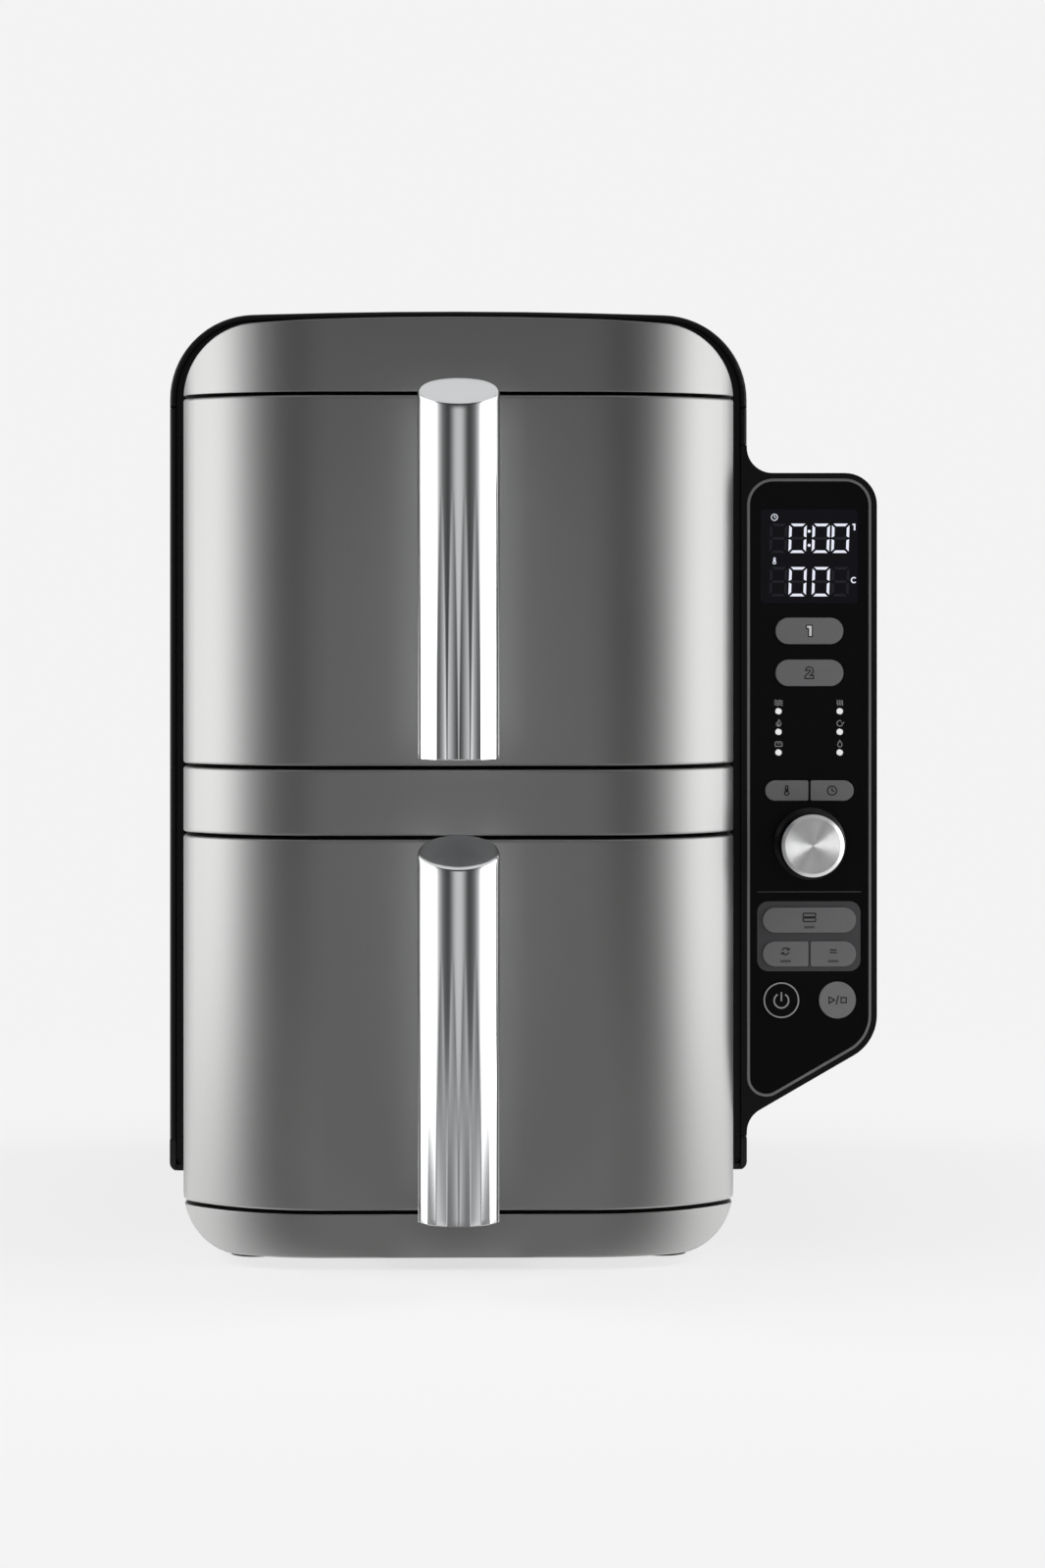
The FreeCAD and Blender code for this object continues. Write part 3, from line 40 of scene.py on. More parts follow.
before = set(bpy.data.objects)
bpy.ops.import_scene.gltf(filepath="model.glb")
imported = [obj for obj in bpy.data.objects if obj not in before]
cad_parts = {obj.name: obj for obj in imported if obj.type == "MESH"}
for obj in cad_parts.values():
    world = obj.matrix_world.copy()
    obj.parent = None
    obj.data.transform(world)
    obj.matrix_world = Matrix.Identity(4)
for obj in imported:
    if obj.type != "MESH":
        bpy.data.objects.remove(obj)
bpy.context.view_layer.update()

import math

import bmesh
import bpy
from bpy.props import FloatProperty, FloatVectorProperty, IntProperty, PointerProperty
from mathutils import Matrix, Vector

FRONT_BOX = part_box("upper_drawer_front")
# The case's own origin: the drawers' centre plane, the flat of their fronts and the floor
CASE = Vector(((FRONT_BOX[0].x + FRONT_BOX[1].x) / 2, FRONT_BOX[0].y, 0.0))
MILLI = 0.001
DRAWERS = ("lower", "upper")


def spot(x, y, z):
    """A point given in millimetres from the case's own origin."""
    return CASE + Vector((x, y, z)) * MILLI


def middle(node):
    low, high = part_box(node)
    return (low + high) / 2


def in_case(point):
    """A point's place from the case's own origin, in millimetres."""
    return (point - CASE) / MILLI


# Sizes and colours that a user would change
def tint(name, description, default):
    return FloatVectorProperty(name=name, description=description, subtype="COLOR", size=3,
                               min=0.0, max=1.0, default=default)


def share(name, description, default):
    return FloatProperty(name=name, description=description, subtype="FACTOR", min=0.0, max=1.0,
                         default=default)


def length(name, description, default):
    return FloatProperty(name=name, description=description, unit="LENGTH", min=0.0,
                         default=default, precision=5)


class FryerFinish(bpy.types.PropertyGroup):
    """Colours and gloss of the fryer's surfaces"""

    front: tint("Front", "Metallic paint of the drawer fronts and bands", (0.268, 0.268, 0.266))
    front_rough: share("Front roughness", "How far the front blurs what it reflects", 0.385)
    casing: tint("Casing", "Black plastic behind the front", (0.0045, 0.0045, 0.0045))
    chrome: tint("Chrome", "Bright plating of the handles", (0.85, 0.86, 0.875))
    chrome_rough: share("Chrome roughness", "How far the handles blur what they reflect", 0.14)
    panel: tint("Panel", "Gloss black face of the control pod", (0.0035, 0.0035, 0.004))
    window: tint("Window", "Display window in the panel", (0.0068, 0.0068, 0.0092))
    key: tint("Keys", "Pill-shaped keys", (0.132, 0.132, 0.136))
    start: tint("Start key", "Round key at the lower right", (0.150, 0.150, 0.150))
    plate: tint("Group plate", "Printed plate behind the lower keys", (0.053, 0.053, 0.056))
    trim: tint("Trim", "Thin ring round the panel", (0.195, 0.195, 0.195))
    print_dark: tint("Dark print", "Marks on the keys", (0.007, 0.007, 0.0075))
    print_pale: tint("Pale print", "Marks on the panel", (0.210, 0.210, 0.215))
    steel: tint("Sheet steel", "Chambers and runners", (0.52, 0.52, 0.51))
    coating: tint("Coating", "Non-stick coat of baskets and plates", (0.022, 0.022, 0.023))


class FryerGrip(bpy.types.PropertyGroup):
    """Form of the upright handles"""

    flutes: IntProperty(name="Flutes", description="Hollows round each handle", default=22, min=3)
    radius: length("Flute radius", "Radius of each hollow", 0.017)
    depth: length("Flute depth", "Depth of each hollow at the handle's foot", 0.00031)
    run: length("Flute length", "Height at which the hollows fade out", 0.104)
    slope: FloatProperty(name="Top slope", description="How far the top leans to the front",
                         subtype="ANGLE", default=math.radians(19.4))
    edge: length("Edge radius", "Rounding of the top and foot", 0.0016)


class FryerMarks(bpy.types.PropertyGroup):
    """Printed marks and the display"""

    line: FloatProperty(name="Line", description="Width of a mark's lines, in millimetres",
                        default=0.48, min=0.05)
    relief: FloatProperty(name="Relief", description="How far a mark stands out, in millimetres",
                          default=0.04, min=0.01)
    glow: tint("Glow", "Lit segments and lights", (0.86, 0.88, 1.0))
    glow_strength: FloatProperty(name="Glow strength", description="Brightness of lit segments",
                                 default=0.95, min=0.0)
    ghost: tint("Ghost", "Segments that are off", (0.016, 0.016, 0.021))
    slant: FloatProperty(name="Slant", description="Lean of the digits", subtype="ANGLE",
                         default=math.radians(2.0))


class FryerStudio(bpy.types.PropertyGroup):
    """Camera, floor and light"""

    backdrop: share("Backdrop", "Shade of the floor and background", 0.896)
    ambient: share("Ambient", "Even light from all round", 0.60)
    side_light: FloatProperty(name="Side light", description="Power of each side light",
                              unit="POWER", default=34.0, min=0.0)
    lens: FloatProperty(name="Lens", description="Focal length in millimetres", default=92.3, min=1.0)
    distance: length("Distance", "From the camera to the front", 1.6)
    eye: length("Eye height", "Height of the camera above the floor", 0.2656)
    aim: length("Aim", "How far right of the drawers the camera aims", 0.0254)
    drop: FloatProperty(name="Drop", description="Downward shift of the lens, as a share of the frame",
                        default=0.1155)


# Shader building
class Wire:
    """An output socket that takes part in sums; each operation adds its own Math node."""

    def __init__(self, finish, socket):
        self.finish = finish
        self.socket = socket

    def join(self, operation, first, second):
        return self.finish.node("ShaderNodeMath", {"operation": operation}, {0: first, 1: second})

    def __add__(self, other):
        return self.join("ADD", self, other)

    def __radd__(self, other):
        return self.join("ADD", other, self)

    def __sub__(self, other):
        return self.join("SUBTRACT", self, other)

    def __rsub__(self, other):
        return self.join("SUBTRACT", other, self)

    def __mul__(self, other):
        return self.join("MULTIPLY", self, other)

    def __rmul__(self, other):
        return self.join("MULTIPLY", other, self)

    def __truediv__(self, other):
        return self.join("DIVIDE", self, other)

    def __rtruediv__(self, other):
        return self.join("DIVIDE", other, self)

    def __gt__(self, other):
        return self.join("GREATER_THAN", self, other)

    def __lt__(self, other):
        return self.join("LESS_THAN", self, other)

    def __or__(self, other):
        return self.join("MAXIMUM", self, other)


class Tree:
    """Nodes of a material or of the world."""

    def __init__(self, tree):
        self.tree = tree

    def node(self, kind, settings=None, inputs=None, output=0):
        """Add a node: its settings first, then values or links for its sockets."""
        item = self.tree.nodes.new(kind)
        for name, value in (settings or {}).items():
            if name == "stops":
                self.fill_ramp(item.color_ramp, value)
            else:
                setattr(item, name, value)
        for name, value in (inputs or {}).items():
            self.feed(item.inputs[name], value)
        return Wire(self, item.outputs[output])

    def vector(self, operation, first, second=(0.0, 0.0, 0.0), output=0):
        return self.node("ShaderNodeVectorMath", {"operation": operation}, {0: first, 1: second},
                         output)

    def blend(self, value, start, end, first, last):
        """Go smoothly from a first to a last number while a value goes from a start to an end."""
        return self.node("ShaderNodeMapRange", {"interpolation_type": "SMOOTHSTEP"},
                         {"Value": value, "From Min": start, "From Max": end,
                          "To Min": first, "To Max": last})

    def fill_ramp(self, ramp, stops):
        while len(ramp.elements) < len(stops):
            ramp.elements.new(1.0)
        for element, (place, shade) in zip(ramp.elements, stops):
            element.position = place
            element.color = (shade, shade, shade, 1.0)

    def feed(self, socket, value):
        if isinstance(value, Wire):
            self.tree.links.new(value.socket, socket)
        else:
            socket.default_value = value


class Finish(Tree):
    """A material made of one Principled shader and what feeds it."""

    def __init__(self, name):
        self.material = bpy.data.materials.new(name)
        self.material.use_nodes = True
        super().__init__(self.material.node_tree)
        self.shader = self.tree.nodes["Principled BSDF"]

    def set(self, **inputs):
        """Set shader sockets by their names, with _ for each space."""
        for name, value in inputs.items():
            self.feed(self.shader.inputs[name.replace("_", " ")], value)
        return self

    def place(self, stretch=(1.0, 1.0, 1.0)):
        """The surface's own coordinates in metres, scaled along each axis."""
        coordinates = self.node("ShaderNodeTexCoord", output="Object")
        return self.node("ShaderNodeMapping", {"vector_type": "POINT"},
                         {"Vector": coordinates, "Scale": stretch})

    def noise(self, scale, detail=2.0, stretch=(1.0, 1.0, 1.0)):
        return self.node("ShaderNodeTexNoise", {"noise_dimensions": "3D"},
                         {"Vector": self.place(stretch), "Scale": scale, "Detail": detail})

    def mix(self, factor, first, second):
        return self.node("ShaderNodeMix", {"data_type": "RGBA"},
                         {"Factor": factor, 6: first, 7: second}, output=2)

    def bump(self, height, strength, distance, edge=0.0):
        """Relief from a height, over edges that catch the light as if rounded by a radius."""
        inputs = {"Height": height, "Strength": strength, "Distance": distance}
        if edge:
            inputs["Normal"] = self.node("ShaderNodeBevel", {"samples": 6}, {"Radius": edge})
        return self.set(Normal=self.node("ShaderNodeBump", None, inputs))


GRAIN_DEPTH = 0.0001


def rgba(colour, gain=1.0):
    return tuple(min(1.0, part * gain) for part in colour) + (1.0,)


def grained(name, colour, rough, grain, relief, metallic=0.0, specular=0.5, spread=0.12, edge=0.0):
    """A finish whose colour, roughness and relief all vary with one fine grain."""
    finish = Finish(name)
    speckle = finish.noise(grain, 3.0)
    finish.set(Base_Color=finish.mix(speckle, rgba(colour, 1 - spread), rgba(colour, 1 + spread)),
               Roughness=speckle * 0.14 + (rough - 0.07), Metallic=metallic,
               Specular_IOR_Level=specular)
    finish.bump(speckle, relief, GRAIN_DEPTH, edge)
    return finish.material


def brushed(name, colour, rough, stretch):
    """Metal with fine lines along the axis that is stretched least."""
    finish = Finish(name)
    lines = finish.noise(1.0, 4.0, stretch)
    finish.set(Base_Color=finish.mix(lines, rgba(colour, 0.9), rgba(colour, 1.06)),
               Roughness=lines * 0.16 + (rough - 0.08), Metallic=1.0)
    finish.bump(lines, 0.05, GRAIN_DEPTH)
    return finish.material


def ink(name, colour, rough=0.5):
    """A thin printed colour."""
    return grained(name, colour, rough, 2600.0, 0.02, specular=0.2)


def metallic_paint(name, colour, rough):
    """Satin paint with fine metal flakes and a faint cloudiness."""
    finish = Finish(name)
    flakes = finish.noise(5200.0, 1.0)
    clouds = finish.noise(14.0, 2.0)
    shade = flakes * 0.75 + clouds * 0.25
    finish.set(Base_Color=finish.mix(shade, rgba(colour, 0.86), rgba(colour, 1.14)),
               Roughness=flakes * 0.08 + clouds * 0.04 + (rough - 0.06), Metallic=0.97)
    finish.bump(flakes, 0.03, 0.00005, 0.0009)
    return finish.material


def plated(name, colour, rough):
    """Chrome with faint streaks drawn along its height."""
    finish = Finish(name)
    streaks = finish.noise(1.0, 3.0, (900.0, 900.0, 5.0))
    finish.set(Base_Color=finish.mix(streaks, rgba(colour, 0.96), rgba(colour, 1.03)),
               Roughness=streaks * 0.05 + (rough - 0.025), Metallic=1.0)
    return finish.material


# Along this line, in the piece's own plane, turned metal glints most; the base colour is painted
# lighter along it and darker across it, as a painted highlight
PAINTED_GLINT_AXIS = (0.978, 0.208, 0.0)
RINGS_PER_METRE = 60000.0


def spun_metal(name, colour, rough, lean, reach):
    """Turned metal with a painted highlight; out to a reach from the piece's z axis, fine rings spread
    light away from it.
    """
    finish = Finish(name)
    place = finish.node("ShaderNodeTexCoord", output="Object")
    flat = finish.vector("MULTIPLY", place, (1.0, 1.0, 0.0))
    away = finish.vector("LENGTH", flat, output="Value")
    outward = finish.vector("NORMALIZE", flat)
    rings = finish.node("ShaderNodeTexNoise", {"noise_dimensions": "1D"},
                        {"W": away, "Scale": RINGS_PER_METRE, "Detail": 1.0})
    painted_glint = finish.vector("DOT_PRODUCT", outward, PAINTED_GLINT_AXIS, output="Value")
    turned = finish.node("ShaderNodeVectorTransform",
                         {"vector_type": "VECTOR", "convert_from": "OBJECT", "convert_to": "WORLD"},
                         {0: outward})
    leaning = finish.node("ShaderNodeVectorMath", {"operation": "SCALE"},
                          {0: turned, "Scale": (rings - 0.5) * (reach > away) * lean})
    upright = finish.node("ShaderNodeNewGeometry", output="Normal")
    # Painted highlight: the base colour is lighter along the glint axis and darker across it, two
    # painted glints that turn with the piece
    finish.set(Base_Color=finish.mix(painted_glint * painted_glint, rgba(colour, 0.74), rgba(colour, 1.30)),
               Roughness=rings * 0.06 + (rough - 0.03), Metallic=1.0,
               Normal=finish.vector("NORMALIZE", finish.vector("ADD", upright, leaning)))
    return finish.material


def glossy_black(name, colour, rough, specular):
    """Clear-faced black plastic with the faintest waviness."""
    finish = Finish(name)
    waves = finish.noise(60.0, 1.0)
    finish.set(Base_Color=finish.mix(waves, rgba(colour, 0.9), rgba(colour, 1.1)),
               Roughness=waves * 0.04 + rough, Specular_IOR_Level=specular)
    return finish.material


def speckled_coat(name, colour):
    """Non-stick coat with scattered paler specks."""
    finish = Finish(name)
    grain = finish.noise(1500.0, 2.0)
    specks = finish.noise(900.0, 0.0) > 0.70
    finish.set(Base_Color=finish.mix(specks, rgba(colour), (0.11, 0.11, 0.112, 1.0)),
               Roughness=grain * 0.15 + 0.36, Metallic=0.15)
    finish.bump(grain, 0.08, GRAIN_DEPTH)
    return finish.material


def lit(name, colour, strength):
    """A lamp behind a milky cover, a little uneven."""
    finish = Finish(name)
    uneven = finish.noise(700.0, 1.0)
    finish.set(Base_Color=(0.02, 0.02, 0.02, 1.0), Roughness=0.4,
               Emission_Color=finish.mix(uneven, rgba(colour, 0.94), rgba(colour, 1.0)),
               Emission_Strength=strength)
    return finish.material


def circuit_board(name):
    """Green board with paler tracks."""
    finish = Finish(name)
    tracks = finish.node("ShaderNodeTexBrick", {"offset": 0.35, "squash": 1.0},
                         {"Vector": finish.place(), "Scale": 160.0, "Mortar Size": 0.05}, output=1)
    grain = finish.noise(900.0, 1.0)
    finish.set(Base_Color=finish.mix(tracks, (0.012, 0.07, 0.03, 1.0), (0.05, 0.17, 0.07, 1.0)),
               Roughness=grain * 0.1 + 0.4)
    finish.bump(tracks, 0.15, GRAIN_DEPTH)
    return finish.material


def coat(material, *nodes):
    """Give CAD nodes their finish."""
    for node in nodes:
        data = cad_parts[node].data
        data.materials.clear()
        data.materials.append(material)


def each(*names):
    """Node names of both drawers."""
    return [f"{drawer}_{name}" for drawer in DRAWERS for name in names]


# Mesh building
def make_object(mesh, name, material):
    """Turn a finished bmesh into an object of the scene."""
    data = bpy.data.meshes.new(name)
    mesh.to_mesh(data)
    mesh.free()
    data.materials.append(material)
    item = bpy.data.objects.new(name, data)
    bpy.context.scene.collection.objects.link(item)
    return item


def show(mesh, name, material, body, smooth=None, place=None):
    """Turn a bmesh into a piece that rides on a body, with edges smooth up to an angle in degrees."""
    bmesh.ops.recalc_face_normals(mesh, faces=mesh.faces)
    piece = make_object(mesh, name, material)
    if smooth is not None:
        piece.data.shade_smooth()
        piece.data.set_sharp_from_angle(angle=math.radians(smooth))
    if place is not None:
        piece.matrix_world = place
    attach(piece, body)
    return piece


def loft(mesh, rings):
    """Faces between closed rings of points; the first and last are closed with a face."""
    rows = [[mesh.verts.new(point) for point in ring] for ring in rings]
    for low, high in zip(rows, rows[1:]):
        count = len(low)
        for index in range(count):
            after = (index + 1) % count
            mesh.faces.new((low[index], low[after], high[after], high[index]))
    mesh.faces.new(rows[0])
    mesh.faces.new(rows[-1])


class Print:
    """Thin marks on an upright face that looks to the front, in the case's x and z in millimetres."""

    # A corner's point lies at most two half widths from the line
    MITRE_LIMIT = 0.5

    def __init__(self, face, relief):
        self.mesh = bmesh.new()
        self.back = (face - CASE.y) / MILLI
        self.front = self.back - relief

    def pair(self, x, z):
        return [self.mesh.verts.new(spot(x, y, z)) for y in (self.front, self.back)]

    def patch(self, points):
        """A filled outline."""
        pairs = [self.pair(x, z) for x, z in points]
        self.mesh.faces.new([front for front, back in pairs])
        self.mesh.faces.new([back for front, back in reversed(pairs)])
        for (front, back), (next_front, next_back) in zip(pairs, pairs[1:] + pairs[:1]):
            self.mesh.faces.new((front, back, next_back, next_front))

    def strip(self, points, width, closed=False):
        """A line of even width through the points."""
        sides = []
        count = len(points)
        for index, (x, z) in enumerate(points):
            before = points[index - 1] if index or closed else None
            after = points[(index + 1) % count] if index + 1 < count or closed else None
            normals = [Vector((a[1] - b[1], b[0] - a[0])).normalized()
                       for a, b in ((before, (x, z)), ((x, z), after)) if a and b]
            out = sum(normals, Vector((0.0, 0.0))).normalized()
            out *= width / 2 / max(self.MITRE_LIMIT, out.dot(normals[0]))
            sides.append((self.pair(x + out.x, z + out.y), self.pair(x - out.x, z - out.y)))
        runs = list(zip(sides, sides[1:] + sides[:1]))
        for (left, right), (next_left, next_right) in runs if closed else runs[:-1]:
            for corners in ((left[0], right[0], next_right[0], next_left[0]),
                            (left[1], next_left[1], next_right[1], right[1]),
                            (left[0], next_left[0], next_left[1], left[1]),
                            (right[0], right[1], next_right[1], next_right[0])):
                self.mesh.faces.new(corners)
        if not closed:
            for left, right in (sides[0], sides[-1]):
                self.mesh.faces.new((left[0], left[1], right[1], right[0]))

    def draw(self, icon, x, z, width, size=1.0):
        """Every line of an icon, with its middle at a point."""
        for points, closed in icon:
            self.strip([(x + u * size, z + v * size) for u, v in points], width, closed)

    def build(self, name, material, body, slot):
        return show(self.mesh, name, material, body)


# Outlines for marks, in millimetres
def arc(x, z, radius, start, end, steps=20):
    angles = [math.radians(start + (end - start) * i / steps) for i in range(steps + 1)]
    return [(x + radius * math.cos(a), z + radius * math.sin(a)) for a in angles]


def round_box(x, z, width, height, radius):
    points = []
    for side_x, side_z, start in ((1, 1, 0), (-1, 1, 90), (-1, -1, 180), (1, -1, 270)):
        points += arc(x + side_x * (width / 2 - radius), z + side_z * (height / 2 - radius), radius,
                      start, start + 90, 8)
    return points


def disc(x, z, radius):
    return arc(x, z, radius, 0, 360, 28)[:-1]


CLOCK = [(disc(0, 0, 1.5), True), ([(0, 0.95), (0, 0), (0.7, -0.3)], False)]
THERMOMETER = [(arc(0, -0.9, 0.75, 125, 415) + arc(0, 1.35, 0.43, 0, 180, 8), True),
               ([(0, 0.7), (0, -0.7)], False)]
POWER = [(arc(0, 0, 3.0, 122, 418), False), ([(0, -0.2), (0, 3.5)], False)]
PLAY = [([(-0.9, -1.3), (1.4, 0), (-0.9, 1.3)], True)]
STOP = [([(-1.05, -1.05), (1.05, -1.05), (1.05, 1.05), (-1.05, 1.05)], True)]
STACKED = [(round_box(0, 0.95, 5.2, 1.5, 0.45), True), (round_box(0, -0.95, 5.2, 1.5, 0.45), True)]
CYCLE = [(arc(0, 0, 1.45, 25, 165), False), (arc(0, 0, 1.45, 205, 345), False),
         ([(1.95, 1.35), (1.35, 0.55), (0.55, 0.95)], False),
         ([(-1.95, -1.35), (-1.35, -0.55), (-0.55, -0.95)], False)]
EQUAL = [([(-1.7, 0.65), (1.7, 0.65)], False), ([(-1.7, -0.65), (1.7, -0.65)], False)]


def wave(z, width, height):
    steps = 16
    return [(width * (i / steps - 0.5), z + height * math.sin(2 * math.tau * i / steps))
            for i in range(steps + 1)]


BREEZE = [(wave(z, 4.0, 0.28), False) for z in (1.0, 0.0, -1.0)]
FLAME = [([(0.15, 1.75), (0.75, 0.85), (1.15, 0.0), (1.0, -0.85), (0.4, -1.4), (-0.4, -1.4),
           (-1.0, -0.85), (-1.05, -0.1), (-0.6, 0.45), (-0.3, 0.15), (-0.15, 0.95)], True),
         ([(0.0, -0.2), (0.4, -0.75), (0.0, -1.0), (-0.35, -0.7)], True)]
LOAF = [([(-1.6, -1.1)] + arc(-0.9, 0.25, 0.8, 180, 90, 6) + arc(0.9, 0.25, 0.8, 90, 0, 6)
         + [(1.6, -1.1)], True),
        ([(-0.55, 0.55), (-0.15, -0.1)], False), ([(0.35, 0.55), (0.75, -0.1)], False)]
HEAT = [([(z, x * 0.8) for x, z in wave(u, 3.2, 0.26)], False) for u in (-1.1, 0.0, 1.1)]
TURN = [(arc(0, 0, 1.35, 60, 360), False), ([(0.75, 0.55), (1.35, -0.1), (2.0, 0.5)], False)]
DROP = [([(0, 1.7)] + arc(0, -0.35, 1.05, 30, -210, 18), True)]
CELSIUS = [(arc(0, 0, 1.05, 45, 315, 14), False)]
LIT_SEGMENTS = {"0": "abcdef", "-": ""}


def numeral_one(grow):
    """A bold 1 round its middle, with its outline moved out by a length."""
    left, right, flag = -0.1 - grow, 0.95 + grow, -1.0 - grow
    head, foot, under = 2.1 + grow, -2.1 - grow, 1.2 - grow
    return [(flag, head), (right, head), (right, foot), (left, foot), (left, under), (flag, under)]


def numeral_two(grow):
    """A bold 2 round its middle, with its outline moved out by a length."""
    rise, start, end, lean = 0.8, 155 + math.degrees(grow), -42, 1.12
    outer = arc(0, rise, 1.4 + grow, start, end, 24)
    inner = arc(0, rise, 0.6 - grow, end, start, 24)
    left, right, foot, bar = -1.6 - grow, 1.5 + grow, -2.1 - grow, -1.3 + grow
    corner = outer[-1][0] - (outer[-1][1] - bar) * lean
    shoulder = inner[0][1] - (inner[0][0] - left) / lean
    return outer + [(corner, bar), (right, bar), (right, foot), (left, foot), (left, shoulder)] + inner


def segment_outlines(x, z, width, height, thick):
    """The seven mitred outlines of a digit by letter, from the lower left corner of its box."""
    corner, waist = thick * 0.6, thick * 0.3
    right, top, centre = x + width, z + height, z + height / 2

    def bar(outer, inner):
        return [(x + corner, outer), (right - corner, outer),
                (right - corner - thick, inner), (x + corner + thick, inner)]

    def post(outer, inner, end, side):
        return [(outer, end - side * corner), (inner, end - side * (corner + thick)),
                (inner, centre + side * (waist + thick / 2)), (outer, centre + side * waist)]

    half = thick / 2
    left_end, right_end = x + thick + waist, right - thick - waist
    middle_bar = [(left_end - half, centre), (left_end, centre + half), (right_end, centre + half),
                  (right_end + half, centre), (right_end, centre - half), (left_end, centre - half)]
    return {"a": bar(top, top - thick), "d": bar(z, z + thick), "g": middle_bar,
            "b": post(right, right - thick, top, 1), "c": post(right, right - thick, z, -1),
            "e": post(x, x + thick, z, -1), "f": post(x, x + thick, top, 1)}


# The pieces
class FRYER_OT_front(bpy.types.Operator):
    """Paint the drawer fronts, the bands and the base"""

    bl_idname = "fryer.front"
    bl_label = "Front mouldings"

    def execute(self, context):
        look = context.scene.fryer_finish
        paint = metallic_paint("front_paint", look.front, look.front_rough)
        coat(paint, "base_tray", "top_fascia", "middle_fascia", *each("drawer_front"))
        return {"FINISHED"}


class FRYER_OT_casing(bpy.types.Operator):
    """Finish the black casing, its feet, screws and cord gland"""

    bl_idname = "fryer.casing"
    bl_label = "Casing"

    # Radius of a screw's head, and the arm and width of its cross, in millimetres
    SCREW_RADIUS = 3.6
    CROSS = (1.7, 0.7)

    def execute(self, context):
        look = context.scene.fryer_finish
        shell = grained("casing_plastic", look.casing, 0.42, 1900.0, 0.10, specular=0.12, edge=0.0006)
        coat(shell, "left_side_panel", "right_side_panel", "top_cover", "rear_cover", "pod_shell")
        skirt = grained("skirt_plastic", (0.009, 0.009, 0.009), 0.5, 1900.0, 0.12, specular=0.2,
                        edge=0.0006)
        coat(skirt, "chassis_pan", "cord_gland")
        coat(grained("frame_plastic", (0.0045, 0.0045, 0.0045), 0.5, 1500.0, 0.12, specular=0.12),
             "front_frame", *each("drawer_liner"))
        coat(grained("foot_rubber", (0.016, 0.016, 0.016), 0.72, 1100.0, 0.3, specular=0.3),
             "rubber_feet")
        coat(grained("screw_metal", (0.05, 0.05, 0.052), 0.4, 2500.0, 0.08, metallic=0.9),
             "case_screws")
        self.paint_recess_shade(context.scene.fryer_marks.relief)
        return {"FINISHED"}

    def paint_recess_shade(self, relief):
        """A dark cross on each screw head of the rear cover: painted shade in place of the cross
        recess's hollow.
        """
        low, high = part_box("case_screws")
        side = (high.x - low.x) / 2 / MILLI - self.SCREW_RADIUS
        heights = (low.z / MILLI + self.SCREW_RADIUS, middle("middle_fascia").z / MILLI,
                   high.z / MILLI - self.SCREW_RADIUS)
        arm, width = self.CROSS
        mark = Print(high.y + relief * MILLI, relief)
        for x in (-side, side):
            for z in heights:
                mark.strip([(x - arm, z), (x + arm, z)], width)
                mark.strip([(x, z - arm), (x, z + arm)], width)
        # Painted shade: the cross recess is not cut, its shade is painted as a near-black cross
        dark = grained("screw_recess_painted_shade", (0.004, 0.004, 0.004), 0.7, 900.0, 0.1)
        mark.build("screw_recess_shade_marks", dark, "case", "screw_steel")


class FRYER_OT_handles(bpy.types.Operator):
    """Build the two chrome handles with their fading flutes"""

    bl_idname = "fryer.handles"
    bl_label = "Handles"

    STEPS_PER_FLUTE = 14
    HEIGHTS = 64
    EDGE_STEPS = 6
    CAP_RINGS = 4
    # The foot's rounding as a share of the top's, and the angle from which an edge stays sharp
    FOOT_SHARE = 0.25
    SHARP = 40

    def execute(self, context):
        look, grip = context.scene.fryer_finish, context.scene.fryer_grip
        chrome = plated("handle_chrome", look.chrome, look.chrome_rough)
        for drawer in DRAWERS:
            node = drawer + "_handle"
            piece = self.handle(node, drawer + "_grip", chrome, grip, drawer + "_drawer")
            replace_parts(piece, node)
        coat(chrome, *each("handle_posts"))
        return {"FINISHED"}

    def radius_at(self, grip, full, angle, height):
        """Distance from the axis to the fluted surface."""
        depth = grip.depth * (1 - height / grip.run)
        if depth <= 0:
            return full
        pitch = math.tau / grip.flutes
        turn = (angle + pitch / 2) % pitch - pitch / 2
        centre = full + grip.radius - depth
        reach = grip.radius ** 2 - (centre * math.sin(turn)) ** 2
        if reach <= 0:
            return full
        return min(full, centre * math.cos(turn) - math.sqrt(reach))

    def handle(self, node, name, chrome, grip, body):
        low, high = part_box(node)
        full = (high.x - low.x) / 2
        axis = Vector(((low.x + high.x) / 2, low.y + full, low.z))
        count = grip.flutes * self.STEPS_PER_FLUTE
        angles = [math.tau * i / count - math.pi / 2 for i in range(count)]
        rise = math.tan(grip.slope)
        peak = high.z - low.z + grip.edge * (1 / math.cos(grip.slope) - 1)
        edge, foot = grip.edge, grip.edge * self.FOOT_SHARE

        def point(angle, radius, height):
            return axis + Vector((radius * math.cos(angle), radius * math.sin(angle), height))

        def top(angle, radius):
            return peak - full * rise + radius * math.sin(angle) * rise

        rings = []
        for step in range(self.EDGE_STEPS):
            turn = math.pi / 2 * step / self.EDGE_STEPS
            inset, height = foot * (1 - math.sin(turn)), foot * (1 - math.cos(turn))
            rings.append([point(a, self.radius_at(grip, full, a, 0) - inset, height) for a in angles])
        for step in range(self.HEIGHTS + 1):
            part = step / self.HEIGHTS
            ring = []
            for a in angles:
                height = foot + (top(a, full) - edge - foot) * part
                ring.append(point(a, self.radius_at(grip, full, a, height), height))
            rings.append(ring)
        for step in range(1, self.EDGE_STEPS + 1):
            turn = math.pi / 2 * step / self.EDGE_STEPS
            radius = full - edge * (1 - math.cos(turn))
            rings.append([point(a, radius, top(a, radius) - edge * (1 - math.sin(turn)))
                          for a in angles])
        for step in range(1, self.CAP_RINGS):
            radius = (full - edge) * (1 - step / self.CAP_RINGS)
            rings.append([point(a, radius, top(a, radius)) for a in angles])
        mesh = bmesh.new()
        loft(mesh, rings)
        return show(mesh, name, chrome, body, smooth=self.SHARP)


